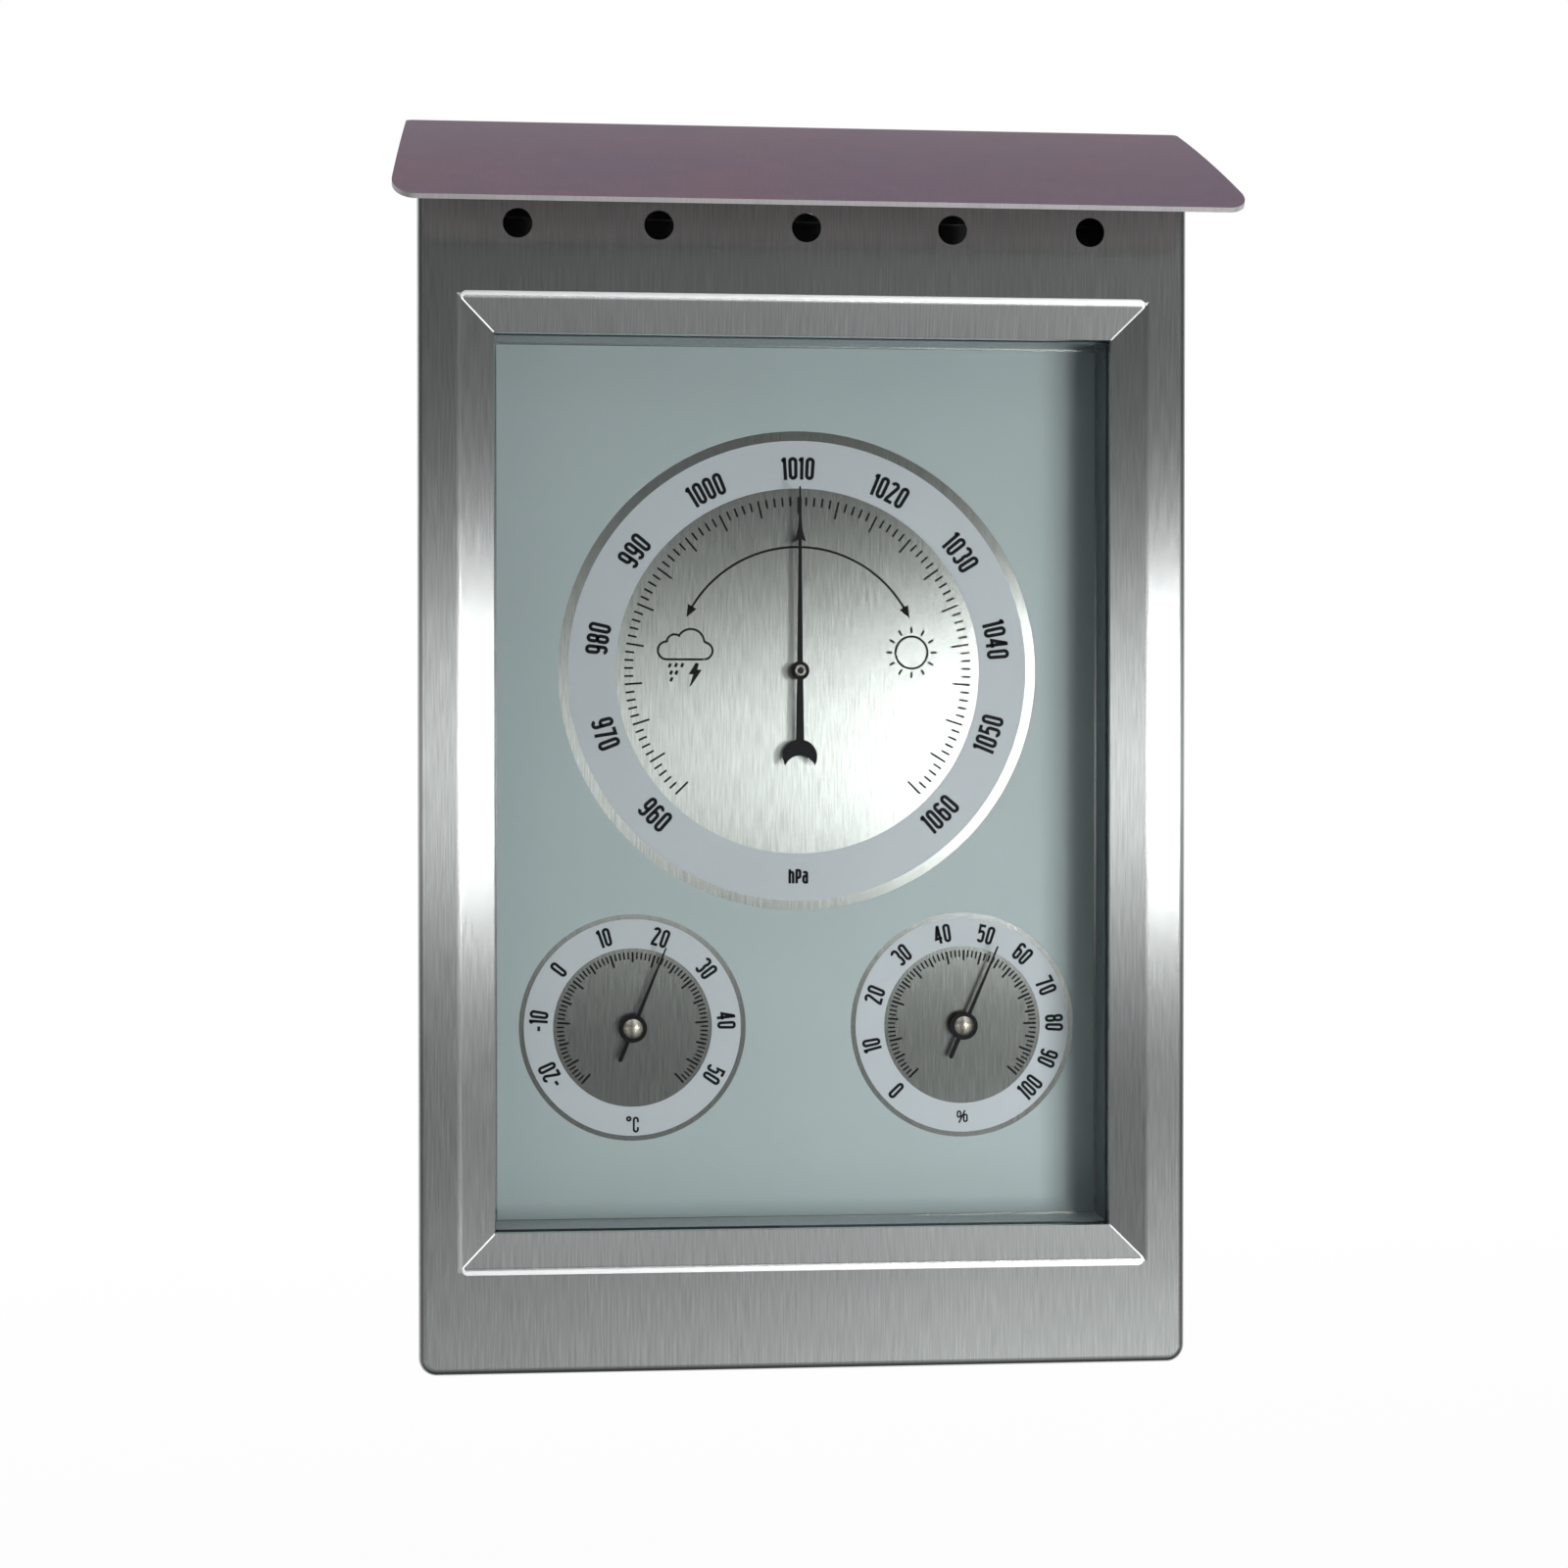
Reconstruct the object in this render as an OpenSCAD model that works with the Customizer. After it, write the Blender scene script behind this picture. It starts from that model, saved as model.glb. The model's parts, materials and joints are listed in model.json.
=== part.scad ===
// Outdoor weather station: a folded stainless steel casing with a sloping roof sheet, a bevelled
// window, and a dial plate that carries a barometer, a thermometer and a hygrometer.
// Units are millimetres. X is to the right, Y goes into the wall and Z is up. The origin is the
// centre of the hanging hole on the wall face. Heights below are measured from the casing's
// lower edge, and depths from its front face, until on_wall() moves the piece into place.

/* [Casing] */
// Width of the casing
casing_w = 210; // [190:1:230]
// Depth from the front face to the wall
casing_d = 62; // [60:1:80]
// Height from the lower edge to the roof's upper rear edge
overall_h = 352; // [346:1:380]
// Thickness of the casing's steel sheet
sheet_t = 1; // [0.8:0.1:1.3]
// Outer radius of the folds round the front face
fold_r = 2.3; // [1.8:0.1:2.8]
// Radius of the two lower corners, seen from the front
corner_r = 5; // [4:0.5:7]
// Width of the inward flanges at the rear and under the roof
flange_w = 12; // [11:0.5:14]
// Height of the hanging hole above the lower edge
hanging_h = 300; // [296:1:312]

/* [Roof] */
// Width of the roof sheet
roof_w = 227; // [218:1:240]
// Thickness of the roof sheet
roof_t = 1.3; // [1:0.1:1.6]
// Slope of the roof in degrees
roof_slope = 23.5; // [20:0.5:25]
// How far the roof's edge stands in front of the face
roof_overhang = 30; // [25:1:45]
// How far the roof's middle lies to the right of the casing's middle
roof_shift = 2.8; // [-4:0.2:4]
// Radius of the roof's slight arch between the wall and its front edge
roof_arch_r = 1300; // [1000:50:3000]
// Width of the rounding at the roof's front corners
roof_corner_w = 7; // [3:0.5:10]
// Length of that rounding along the roof's sides
roof_corner_l = 17; // [6:1:24]
// Radius of the roof's rear corners
roof_rear_r = 2; // [1:0.5:4]

/* [Window] */
// Width of the plain face between the bevelled border and the casing's side
side_w = 10.5; // [7.5:0.5:13]
// Height of the clear opening
window_h = 244; // [236:1:250]
// Height of the clear opening above the casing's lower edge
window_z = 38; // [34:1:42]
// Width of the bevelled border, seen from the front
bevel_w = 10; // [8:0.5:11]
// Angle of the bevel to the front face in degrees
bevel_angle = 20.5; // [16:0.5:24]
// Outer radius of the fold between face and bevel
bevel_fold_r = 4; // [3:0.5:5]
// Length of the lip behind the bevel's inner edge
lip_len = 2.5; // [2:0.1:3]

/* [Air vents] */
// Diameter of the vent holes
vent_d = 8; // [6:0.5:9]
// Distance from the roof's underside down to the vent centres
vent_drop = 13; // [11:0.5:15]
// Distance between neighbouring vents in the middle
vent_pitch = 40; // [34:1:42]
// Distance from the second vent to the outer one
vent_outer_pitch = 38; // [30:1:40]

/* [Glazing] */
// Thickness of the glass
glass_t = 3; // [2:0.5:4]
// How far the glass reaches behind the bevel's inner edge
glass_lap = 5.5; // [4:0.5:6]
// Thickness of the rubber gasket
gasket_t = 1; // [0.6:0.1:1.5]
// Distance from the glass to the dial plate
chamber_d = 14; // [13:0.5:15]
// Thickness of the spacer frame's outer rim
rim_t = 2.2; // [1.6:0.2:2.6]

/* [Dial plate] */
// Thickness of the dial plate
plate_t = 1; // [0.8:0.1:1.5]
// How far the dial plate reaches past the glass at the top and the bottom
plate_lap = 9; // [8:0.5:11]
// Thickness of the enamel print
print_t = 0.12; // [0.08:0.02:0.2]
// Height of the barometer's centre above the window's lower edge
baro_up = 153.3; // [148:0.1:158]
// Height of the two small dials above the window's lower edge
small_up = 53.6; // [48:0.1:56]
// Gap between a small dial's ring and the window's side edge
small_side_gap = 6.3; // [4:0.1:9]
// Outer radius of the barometer's bare metal ring
baro_ring_r = 67.2; // [64:0.1:70]
// Width of the barometer's ring
baro_ring_w = 2.7; // [2:0.1:3.5]
// Radius of the barometer's bare metal disc
baro_disc_r = 51.2; // [48:0.1:54]
// Outer radius of the small bare metal rings
small_ring_r = 31.7; // [30:0.1:34]
// Width of the small rings
small_ring_w = 1.4; // [1:0.1:2]
// Radius of the small bare metal discs
small_disc_r = 22.2; // [20:0.1:24]

/* [Pointers] */
// Thickness of the pointers
pointer_t = 0.5; // [0.4:0.1:0.8]
// Length of the barometer pointer from its hub to the tip
baro_pointer_l = 51.3; // [46:0.1:54]
// Height of the barometer pointer above the plate
baro_pointer_h = 5.5; // [5:0.1:9]
// Radius of the barometer pointer's hub
baro_hub_r = 2.6; // [2.2:0.1:3.4]
// Distance from the hub to the crescent's horns
tail_l = 26.4; // [24:0.2:28]
// Radius of the crescent on the barometer pointer's tail
crescent_r = 4.8; // [4.4:0.1:5.6]
// Length of the small pointers from the hub to the tip
small_pointer_l = 24.3; // [22:0.1:25]
// Length of the small pointers' tails
small_tail_l = 9.9; // [8:0.1:12]
// Height of the small pointers above the plate
small_pointer_h = 3.8; // [3.2:0.1:7]
// Radius of the small pointers' hubs
small_hub_r = 3.9; // [3.4:0.1:4.4]
// Reading of the thermometer pointer, in degrees clockwise from the top
thermo_reading = 22.3; // [-30:0.1:60]
// Reading of the hygrometer pointer, in degrees clockwise from the top
hygro_reading = 23.3; // [-30:0.1:60]

/* [Barometer movement] */
// Radius of the movement's round base plate
base_r = 43; // [42:0.5:46]
// Thickness of the base plate
base_t = 1.5; // [1.2:0.1:2]
// Radius of the aneroid capsule
capsule_r = 25; // [22:0.5:26]
// Thickness of the aneroid capsule
capsule_t = 7.5; // [7:0.1:8.5]
// Radius of the arbor that carries the barometer pointer
arbor_r = 0.75; // [0.6:0.05:0.9]
// Radius of the drum that the chain winds on
drum_r = 1.6; // [1.4:0.1:1.8]
// Distance from the rocking shaft to the chain's pin
rocker_arm_l = 16.6; // [16:0.1:17.4]
// Distance from the rocking shaft to the link's hole
crank_l = 4.5; // [4.2:0.1:5]
// Thickness of the leaf spring
leaf_t = 0.8; // [0.6:0.1:1]
// Radius of the three studs that carry the movement
stud_r = 1.5; // [1.25:0.05:1.7]

/* [Small movements] */
// Radius of the thermometer's bimetal coil
thermo_coil_r = 11; // [9:0.5:13]
// Width of the thermometer's bimetal strip
thermo_coil_w = 5; // [4:0.5:6]
// Radius of the hygrometer's coil
hygro_coil_r = 13.5; // [11:0.5:15]
// Width of the hygrometer's strip
hygro_coil_w = 7; // [5:0.5:8]
// Thickness of both strips
strip_t = 0.4; // [0.3:0.05:0.5]
// Radius of the small arbors
small_arbor_r = 0.6; // [0.5:0.05:0.8]

/* [Rear] */
// Thickness of the back plate
back_t = 2; // [1.5:0.1:3]
// Radius of the hanging hole's round entry
keyhole_r = 5; // [4.5:0.1:5.5]
// Width of the slot above the entry
keyhole_slot_w = 5; // [4:0.1:5.4]
// Height of the slot above the entry's centre
keyhole_slot_h = 10; // [8:0.5:12]
// Radius of the screws and casing studs
screw_r = 1.5; // [1.25:0.05:1.7]
// Radius of the hole that gives access to the adjusting screw
access_r = 4.5; // [4.2:0.1:6]

/* [Hidden] */
$fn = 64;
// Smallest gap between pieces that turn or slide on each other
running_gap = 0.05;
// Gap round screws and studs in their clearance holes
hole_gap = 0.2;
// Gap between pieces that must stay clear of each other
clear_gap = 0.3;
// Overlap that carries a cut past the surface it opens
cut = 1;

// Roof line: height of the roof's underside at the wall and at the front face, and its arch
corner_steps = 16;
roof_wall_z = overall_h - roof_t * cos(roof_slope);
roof_face_z = roof_wall_z - casing_d * tan(roof_slope);
roof_l = (casing_d + roof_overhang) / cos(roof_slope) - roof_t * tan(roof_slope);
roof_axis = sqrt(roof_arch_r * roof_arch_r - roof_l * roof_l / 4);
roof_rise = roof_arch_r - roof_axis;
vent_z = roof_face_z - vent_drop;

// Depths from the front face to the wall
bevel_d = bevel_fold_r * (1 - cos(bevel_angle))
    + (bevel_w - bevel_fold_r * sin(bevel_angle)) * tan(bevel_angle);
gasket_y = bevel_d + lip_len;
glass_y = gasket_y + gasket_t;
chamber_y = glass_y + glass_t;
plate_y = chamber_y + chamber_d;
plate_back_y = plate_y + plate_t;
flange_y = casing_d - back_t;

// Heights and widths round the window
window_w = casing_w - 2 * (side_w + bevel_w);
small_dx = window_w / 2 - small_ring_r - small_side_gap;
window_top = window_z + window_h;
glass_w = window_w + 2 * glass_lap;
glass_h = window_h + 2 * glass_lap;
glass_z = window_z - glass_lap;
rim_x = glass_w / 2 + clear_gap;
strip_x = (window_w / 2 + bevel_w + casing_w / 2 - fold_r) / 2;
plate_side_gap = 2;
plate_w = casing_w - 2 * (sheet_t + plate_side_gap);
plate_h = glass_h + 2 * plate_lap;
plate_z = glass_z - plate_lap;
stud_edge = 7;
stud_zs = [plate_z + stud_edge, window_z + window_h / 2, plate_z + plate_h - stud_edge];
baro_z = window_z + baro_up;
small_z = window_z + small_up;

// Barometer pointer: half widths and lengths along its shaft, and its crescent
tail_half = 1.14;
shaft_half = 0.8;
waist_half = 0.46;
barb_half = 1.75;
neck_half = 0.41;
tip_half = 0.26;
barb_l = 15.4;
barb_sweep = 0.6;
tip_l = 3.1;
horn_w = 0.4;
bite_rise = 0.75;
cap_wall = 0.9;
cap_h = 0.7;
arbor_nose = 0.9;
shoulder_w = 0.6;
shoulder_l = 4;

// Small pointers: half widths, and the dome on the hub
small_tail_r = 0.65;
small_tip_half = 0.2;
dome_step = 1.2;
dome_h = 0.8;

// Barometer movement: depths behind the dial plate
arbor_hole_gap = 1;
arbor_hole_r = arbor_r + arbor_hole_gap;
bridge_gap = 1.2;
bridge_t = 1;
bridge_y = plate_back_y + bridge_gap;
bridge_back_y = bridge_y + bridge_t;
drum_flange_t = 0.3;
drum_flange_w = 0.7;
drum_w = 1.6;
drum_y = bridge_back_y + drum_flange_t + 0.1;
chain_y = drum_y + drum_w / 2;
collet_y = drum_y + drum_w + drum_flange_t;
collet_l = 1.2;
cock_y = collet_y + collet_l + 0.2;
cock_t = 1;
arbor_end_y = cock_y + cock_t + 0.3;
lever_gap = 1;
lever_y = arbor_end_y + lever_gap;
lever_t = 1;
leaf_gap = 2.5;
leaf_y = lever_y + lever_t + leaf_gap;
post_l = 5.5;
capsule_y = leaf_y + leaf_t + post_l;
boss_l = 2;
base_y = capsule_y + capsule_t + boss_l;
base_back_y = base_y + base_t;
nut_t = 2.4;
rocker_y = chain_y + rocker_arm_l;

// Barometer movement: places seen from the front, from the pointer's axis
base_dz = -4;
pillar_edge = 5;
pillar_ring_r = base_r - pillar_edge;
bridge_arm_r = 4;
pillar_angles = [90, 210, 330];
capsule_dx = 4;
lever_dz = -8;
post_gap = 5.5;
post_dx = capsule_dx + capsule_r + post_gap;
post_w = 7;
clamp_l = 6.5;
cheese_head_t = 1.6;
post_r = 2.6;
post_neck_r = 1.5;
post_collar_t = 0.8;
capsule_boss_r = 4;
seam_step = 0.6;
leaf_tip_l = 6;
leaf_w = 16;
leaf_tip_w = 10;
lever_axis_dx = post_dx - post_w / 2;
rocker_gap = 9;
rocker_dx = -(capsule_r + rocker_gap);
link_dx = rocker_dx + crank_l;
shaft_r = 1;
shaft_hub_r = 2;
ear_t = 2;
ear_reach = 7;
ear_low_dz = lever_dz - ear_reach;
ear_high_dz = ear_reach;
ear_w = 6;
arm_w = 1.6;
arm_dz = 0.6;
pin_r = 0.5;
eye_r = 1.6;
eye_hole_r = pin_r + 0.55;
link_hole_r = pin_r + 0.45;
link_head_r = 1.3;
link_head_t = 0.5;
chain_h = 0.6;
chain_t = 0.5;
chain_dz = drum_r + 0.15 + chain_h / 2;
chain_pitch = 1.5;
roller_r = 0.45;
collet_r = 1.2;
hairspring_t = 0.2;
hairspring_w = 0.6;
hairspring_in_r = collet_r + clear_gap;
hairspring_out_r = 6;
hairspring_turns = 5;
hairspring_stud_r = 0.5;
cock_w = 6;
cock_span = 11.5;
cock_post_r = 1.8;
rear_pivot_r = 0.6;
crank_w = 3.6;
crank_t = 1.2;
lever_w = 4.4;
foot_w = 8;
foot_l = 10;
foot_gap = 3;
foot_taper = 6;
link_wall = 1;
link_front_gap = 0.2;
link_back_gap = 0.6;
crank_wall = 0.8;
adjuster_r = 2;
adjuster_head_r = 3.5;
adjuster_head_t = 2.2;
adjuster_slot_w = 1;
adjuster_slot_d = 1;

// Small movements
collet_small_r = 1.6;
coil_y = plate_back_y + 4;
coil_gap = 0.6;
bracket_t = 1;
bracket_w = 6;
bracket_back_gap = 3;
bracket_foot_l = 5;
bush_r = 1.8;
bush_front = 0.8;
bush_back = 1.2;
small_coil_turns = 4.5;
coil_step = 12;

// Fasteners
nut_r = 3.2;
clinch_r = 3;
clinch_t = 2.5;
screw_head_r = 2 * screw_r;
slot_w = 0.8;
slot_d = 0.7;
stud_end = 0.5;
rear_screw_x = casing_w / 2 - flange_w / 2 - sheet_t / 2;
rear_screw_edge = 30;
rear_screw_zs = [rear_screw_edge, roof_wall_z / 2, roof_wall_z - rear_screw_edge];

// Moves a piece from casing heights and depths into the frame of the hanging hole
module on_wall() {
    translate([0, -casing_d, -hanging_h]) children();
}

// Lays a flat outline parallel to the front face, from one depth to another
module slab(front, back) {
    translate([0, back, 0]) rotate([90, 0, 0]) linear_extrude(back - front) children();
}

// Round bar that runs into the wall, at a place seen from the front
module bar(r, front, back, x = 0, z = 0) {
    translate([x, front, z]) rotate([-90, 0, 0]) cylinder(r = r, h = back - front);
}

// Block given by its width, depth and height limits
module block(x, y, z) {
    translate([x[0], y[0], z[0]]) cube([x[1] - x[0], y[1] - y[0], z[1] - z[0]]);
}

// Rectangle centred on x = 0
module centred(w, z0, z1) {
    translate([-w / 2, z0]) square([w, z1 - z0]);
}

// Moves a piece into the roof's frame: y runs up the slope to the wall, z stands on the slope
module along_roof() {
    translate([0, casing_d, roof_wall_z]) rotate([roof_slope, 0, 0]) children();
}

// Everything within a radius of the arch's axis, which lies level and far below the roof
module arch(r) {
    translate([-casing_w, -roof_l / 2, -roof_axis]) rotate([0, 90, 0])
        cylinder(r = r, h = 2 * casing_w, $fn = 720);
}

// Everything below the roof's underside, lowered by drop
module under_roof(drop) {
    along_roof() arch(roof_arch_r - drop);
}

// Box of the casing with rounded front folds and lower corners, drawn in by inset
module casing_box(inset, back) {
    half = casing_w / 2 - inset;
    fold = fold_r - inset;
    corner = corner_r - inset;
    corner_x = half - corner;
    corner_z = inset + corner;
    intersection() {
        union() {
            translate([0, 0, corner_z]) linear_extrude(overall_h) folded_front(half, inset, fold, back);
            translate([-corner_x, 0, 0]) rotate([90, 0, 90]) linear_extrude(2 * corner_x)
                folded_bottom(inset, fold, back, corner_z + cut);
            for (side = [-1, 1])
                translate([side * corner_x, 0, corner_z]) rotate([-90, 0, 0]) rotate_extrude()
                    folded_radius(corner, inset, fold, back);
        }
        under_roof(inset);
    }
}

// Plan of the casing with rounded front corners
module folded_front(half, inset, fold, back) {
    translate([-half, inset + fold]) square([2 * half, back - inset - fold]);
    translate([-half + fold, inset]) square([2 * (half - fold), fold + cut]);
    for (side = [-1, 1]) translate([side * (half - fold), inset + fold]) circle(fold);
}

// Section of the casing's bottom with a rounded front corner
module folded_bottom(inset, fold, back, top) {
    translate([inset + fold, inset]) square([back - inset - fold, top - inset]);
    translate([inset, inset + fold]) square([fold + cut, top - inset - fold]);
    translate([inset + fold, inset + fold]) circle(fold);
}

// Half section of a lower corner, for turning
module folded_radius(corner, inset, fold, back) {
    intersection() {
        union() {
            translate([0, inset + fold]) square([corner, back - inset - fold]);
            translate([0, inset]) square([corner - fold, fold + cut]);
            translate([corner - fold, inset + fold]) circle(fold);
        }
        square([corner + cut, back + cut]);
    }
}

// Section of the bevelled border: x runs towards the window, y into the casing
module bevel_section() {
    rise = bevel_fold_r * (1 - cos(bevel_angle));
    run = bevel_fold_r * sin(bevel_angle);
    slope_l = (bevel_w - run) / cos(bevel_angle);
    intersection() {
        translate([0, bevel_fold_r]) difference() {
            circle(bevel_fold_r);
            circle(bevel_fold_r - sheet_t);
        }
        polygon([[0, bevel_fold_r], [0, -cut], [2 * run + cut, -cut],
            [bevel_fold_r * tan(bevel_angle), 0]]);
    }
    intersection() {
        translate([run, rise]) rotate(bevel_angle) square([slope_l + cut, sheet_t]);
        square([bevel_w, bevel_d + 2 * sheet_t]);
    }
    translate([bevel_w - sheet_t, bevel_d]) square([sheet_t, lip_len]);
}

// One mitred rail of the border, along a side of the given length
module bevel_rail(length) {
    reach = bevel_w + cut;
    intersection() {
        translate([-length / 2, 0, 0]) rotate([90, 0, 90]) linear_extrude(length)
            mirror([1, -1]) bevel_section();
        translate([0, 2 * gasket_y, 0]) rotate([90, 0, 0]) linear_extrude(4 * gasket_y)
            polygon([[-length / 2 - cut, -cut], [length / 2 + cut, -cut],
                [length / 2 - reach, reach], [-length / 2 + reach, reach]]);
    }
}

// Tray of folded sheet: front face, sides, bottom, and flanges at the rear and under the roof
module front_casing() {
    outer_w = window_w + 2 * bevel_w;
    outer_h = window_h + 2 * bevel_w;
    middle_z = window_z + window_h / 2;
    color("silver") on_wall() {
        difference() {
            casing_box(0, flange_y);
            casing_box(sheet_t, flange_y - sheet_t);
            slab(flange_y - 2 * sheet_t, flange_y + cut)
                centred(casing_w - 2 * flange_w, flange_w, roof_face_z);
            along_roof() block([-casing_w / 2 + flange_w, casing_w / 2 - flange_w],
                [-casing_d / cos(roof_slope) + flange_w, -flange_w],
                [-3 * sheet_t, roof_rise + cut]);
            slab(-cut, 2 * sheet_t)
                centred(outer_w, window_z - bevel_w, window_top + bevel_w);
            for (side = [-1, 1], x = [vent_pitch, vent_pitch + vent_outer_pitch])
                bar(vent_d / 2, -cut, 2 * sheet_t, side * x, vent_z);
            bar(vent_d / 2, -cut, 2 * sheet_t, 0, vent_z);
            for (side = [-1, 1], z = rear_screw_zs)
                bar(screw_r + hole_gap, flange_y - 2 * sheet_t, flange_y + cut, side * rear_screw_x, z);
        }
        translate([0, 0, window_z - bevel_w]) bevel_rail(outer_w);
        translate([0, 0, window_top + bevel_w]) mirror([0, 0, 1]) bevel_rail(outer_w);
        for (side = [0, 1]) mirror([side, 0, 0])
            translate([-outer_w / 2, 0, middle_z]) rotate([0, 90, 0]) bevel_rail(outer_h);
    }
}

// Quarter of an ellipse round a centre, from the angle a0
function quarter(centre, rx, ry, a0) =
    [for (i = [0:corner_steps]) let (a = a0 + 90 * i / corner_steps)
        [centre[0] + rx * cos(a), centre[1] + ry * sin(a)]];

// Outline of the roof sheet: small rear corners, and front corners that are longer than wide
module roof_outline() {
    rear = [roof_w / 2 - roof_rear_r, -roof_rear_r];
    front = [roof_w / 2 - roof_corner_w, -roof_l + roof_corner_l];
    polygon(concat(
        quarter(rear, roof_rear_r, roof_rear_r, 0),
        quarter([-rear[0], rear[1]], roof_rear_r, roof_rear_r, 90),
        quarter([-front[0], front[1]], roof_corner_w, roof_corner_l, 180),
        quarter(front, roof_corner_w, roof_corner_l, 270)));
}

// Slightly arched roof sheet, lying on the casing's sloping flanges
module roof_sheet() {
    color("rosybrown") on_wall() along_roof() intersection() {
        difference() {
            arch(roof_arch_r + roof_t);
            arch(roof_arch_r);
        }
        translate([roof_shift, 0, -cut]) linear_extrude(roof_rise + 2 * roof_t + 2 * cut) roof_outline();
    }
}

// Flat plate that closes the rear, with the hanging keyhole and the access hole
module back_plate() {
    edge = 0.5;
    color("gainsboro") on_wall() difference() {
        intersection() {
            slab(flange_y, casing_d) {
                centred(casing_w - 2 * edge, corner_r, overall_h);
                centred(casing_w - 2 * corner_r, edge, corner_r + cut);
                for (side = [-1, 1]) translate([side * (casing_w / 2 - corner_r), corner_r])
                    circle(corner_r - edge);
            }
            under_roof(edge);
        }
        bar(keyhole_r, flange_y - cut, casing_d + cut, 0, hanging_h);
        slab(flange_y - cut, casing_d + cut)
            centred(keyhole_slot_w, hanging_h, hanging_h + keyhole_slot_h);
        bar(keyhole_slot_w / 2, flange_y - cut, casing_d + cut, 0, hanging_h + keyhole_slot_h);
        bar(access_r, flange_y - cut, casing_d + cut, post_dx, baro_z + lever_dz);
        for (side = [-1, 1], z = rear_screw_zs) {
            bar(screw_r + hole_gap, flange_y - cut, casing_d + cut, side * rear_screw_x, z);
            countersink(hole_gap, side * rear_screw_x, z);
        }
    }
}

// Cone under a countersunk head, widened by gap
module countersink(gap, x, z) {
    translate([x, casing_d - screw_r, z]) rotate([-90, 0, 0])
        cylinder(r1 = screw_r + gap, r2 = screw_head_r + gap, h = screw_r);
}

// Slot for a screwdriver, upright across a screw's head
module screw_slot(front, back, half) {
    block([-slot_w / 2, slot_w / 2], [front, back], [-half, half]);
}

// Countersunk screws, flush with the wall face
module back_plate_screws() {
    color("lightsteelblue") on_wall() for (side = [-1, 1], z = rear_screw_zs) difference() {
        union() {
            bar(screw_r, flange_y - sheet_t - clinch_t - stud_end, casing_d - screw_r,
                side * rear_screw_x, z);
            countersink(0, side * rear_screw_x, z);
        }
        translate([side * rear_screw_x, 0, z])
            screw_slot(casing_d - slot_d, casing_d + cut, screw_head_r - 1);
    }
}

// Threaded rings pressed onto the rear flanges, one for each screw
module clinch_nuts() {
    color("lightsteelblue") on_wall() for (side = [-1, 1], z = rear_screw_zs) difference() {
        bar(clinch_r, flange_y - sheet_t - clinch_t, flange_y - sheet_t, side * rear_screw_x, z);
        bar(screw_r + running_gap, flange_y - sheet_t - clinch_t - cut, flange_y, side * rear_screw_x, z);
    }
}

// Studs welded to the back of the front face, which carry the dial plate
module casing_studs() {
    color("lightsteelblue") on_wall() for (side = [-1, 1], z = stud_zs)
        bar(screw_r, sheet_t, plate_back_y + nut_t + stud_end, side * strip_x, z);
}

// Hexagon nut round a bar of radius r
module hex_nut(r, front, x, z) {
    difference() {
        translate([x, front, z]) rotate([-90, 0, 0]) cylinder(r = nut_r, h = nut_t, $fn = 6);
        bar(r + running_gap, front - cut, front + nut_t + cut, x, z);
    }
}

// Nuts that hold the dial plate on the casing studs
module plate_nuts() {
    color("lightsteelblue") on_wall() for (side = [-1, 1], z = stud_zs)
        hex_nut(screw_r, plate_back_y, side * strip_x, z);
}

// Flat rubber ring between the bevel's lips and the glass
module glass_gasket() {
    color("black") on_wall() slab(gasket_y, glass_y) difference() {
        centred(glass_w, glass_z, glass_z + glass_h);
        centred(window_w, window_z, window_top);
    }
}

module glass_pane() {
    color("lightblue", 0.3) on_wall() slab(glass_y, chamber_y)
        centred(glass_w, glass_z, glass_z + glass_h);
}

// Dark frame between glass and dial plate, with a rim round the edge of the glass
module spacer_frame() {
    outer_w = 2 * (rim_x + rim_t);
    outer_z = glass_z - clear_gap - rim_t;
    color("dimgray") on_wall() difference() {
        slab(glass_y, plate_y) centred(outer_w, outer_z, outer_z + glass_h + 2 * (clear_gap + rim_t));
        slab(glass_y - cut, plate_y + cut) centred(window_w, window_z, window_top);
        slab(glass_y - cut, chamber_y)
            centred(2 * rim_x, glass_z - clear_gap, glass_z + glass_h + clear_gap);
    }
}

// Brushed metal sheet that carries the print and all three movements
module dial_plate() {
    color("darkgray") on_wall() difference() {
        slab(plate_y, plate_back_y) centred(plate_w, plate_z, plate_z + plate_h);
        for (side = [-1, 1], z = stud_zs)
            bar(screw_r + hole_gap, plate_y - cut, plate_back_y + cut, side * strip_x, z);
        bar(arbor_hole_r, plate_y - cut, plate_back_y + cut, 0, baro_z);
        for (side = [-1, 1])
            bar(bush_r, plate_y - cut, plate_back_y + cut, side * small_dx, small_z);
    }
}

// Enamel round the three dials
module dial_print() {
    color("lightslategray") on_wall() difference() {
        slab(plate_y - print_t, plate_y)
            centred(window_w - 2 * clear_gap, window_z + clear_gap, window_top - clear_gap);
        bar(baro_ring_r, plate_y - cut, plate_y + cut, 0, baro_z);
        for (side = [-1, 1]) bar(small_ring_r, plate_y - cut, plate_y + cut, side * small_dx, small_z);
    }
}

// Enamel band between a bare metal ring and a bare metal disc
module enamel_band(ring_in_r, disc_r, x, z) {
    difference() {
        bar(ring_in_r, plate_y - print_t, plate_y, x, z);
        bar(disc_r, plate_y - cut, plate_y + cut, x, z);
    }
}

// Paler enamel bands that carry the numerals of the three scales
module scale_bands() {
    color("lightsteelblue") on_wall() {
        enamel_band(baro_ring_r - baro_ring_w, baro_disc_r, 0, baro_z);
        for (side = [-1, 1])
            enamel_band(small_ring_r - small_ring_w, small_disc_r, side * small_dx, small_z);
    }
}

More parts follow.
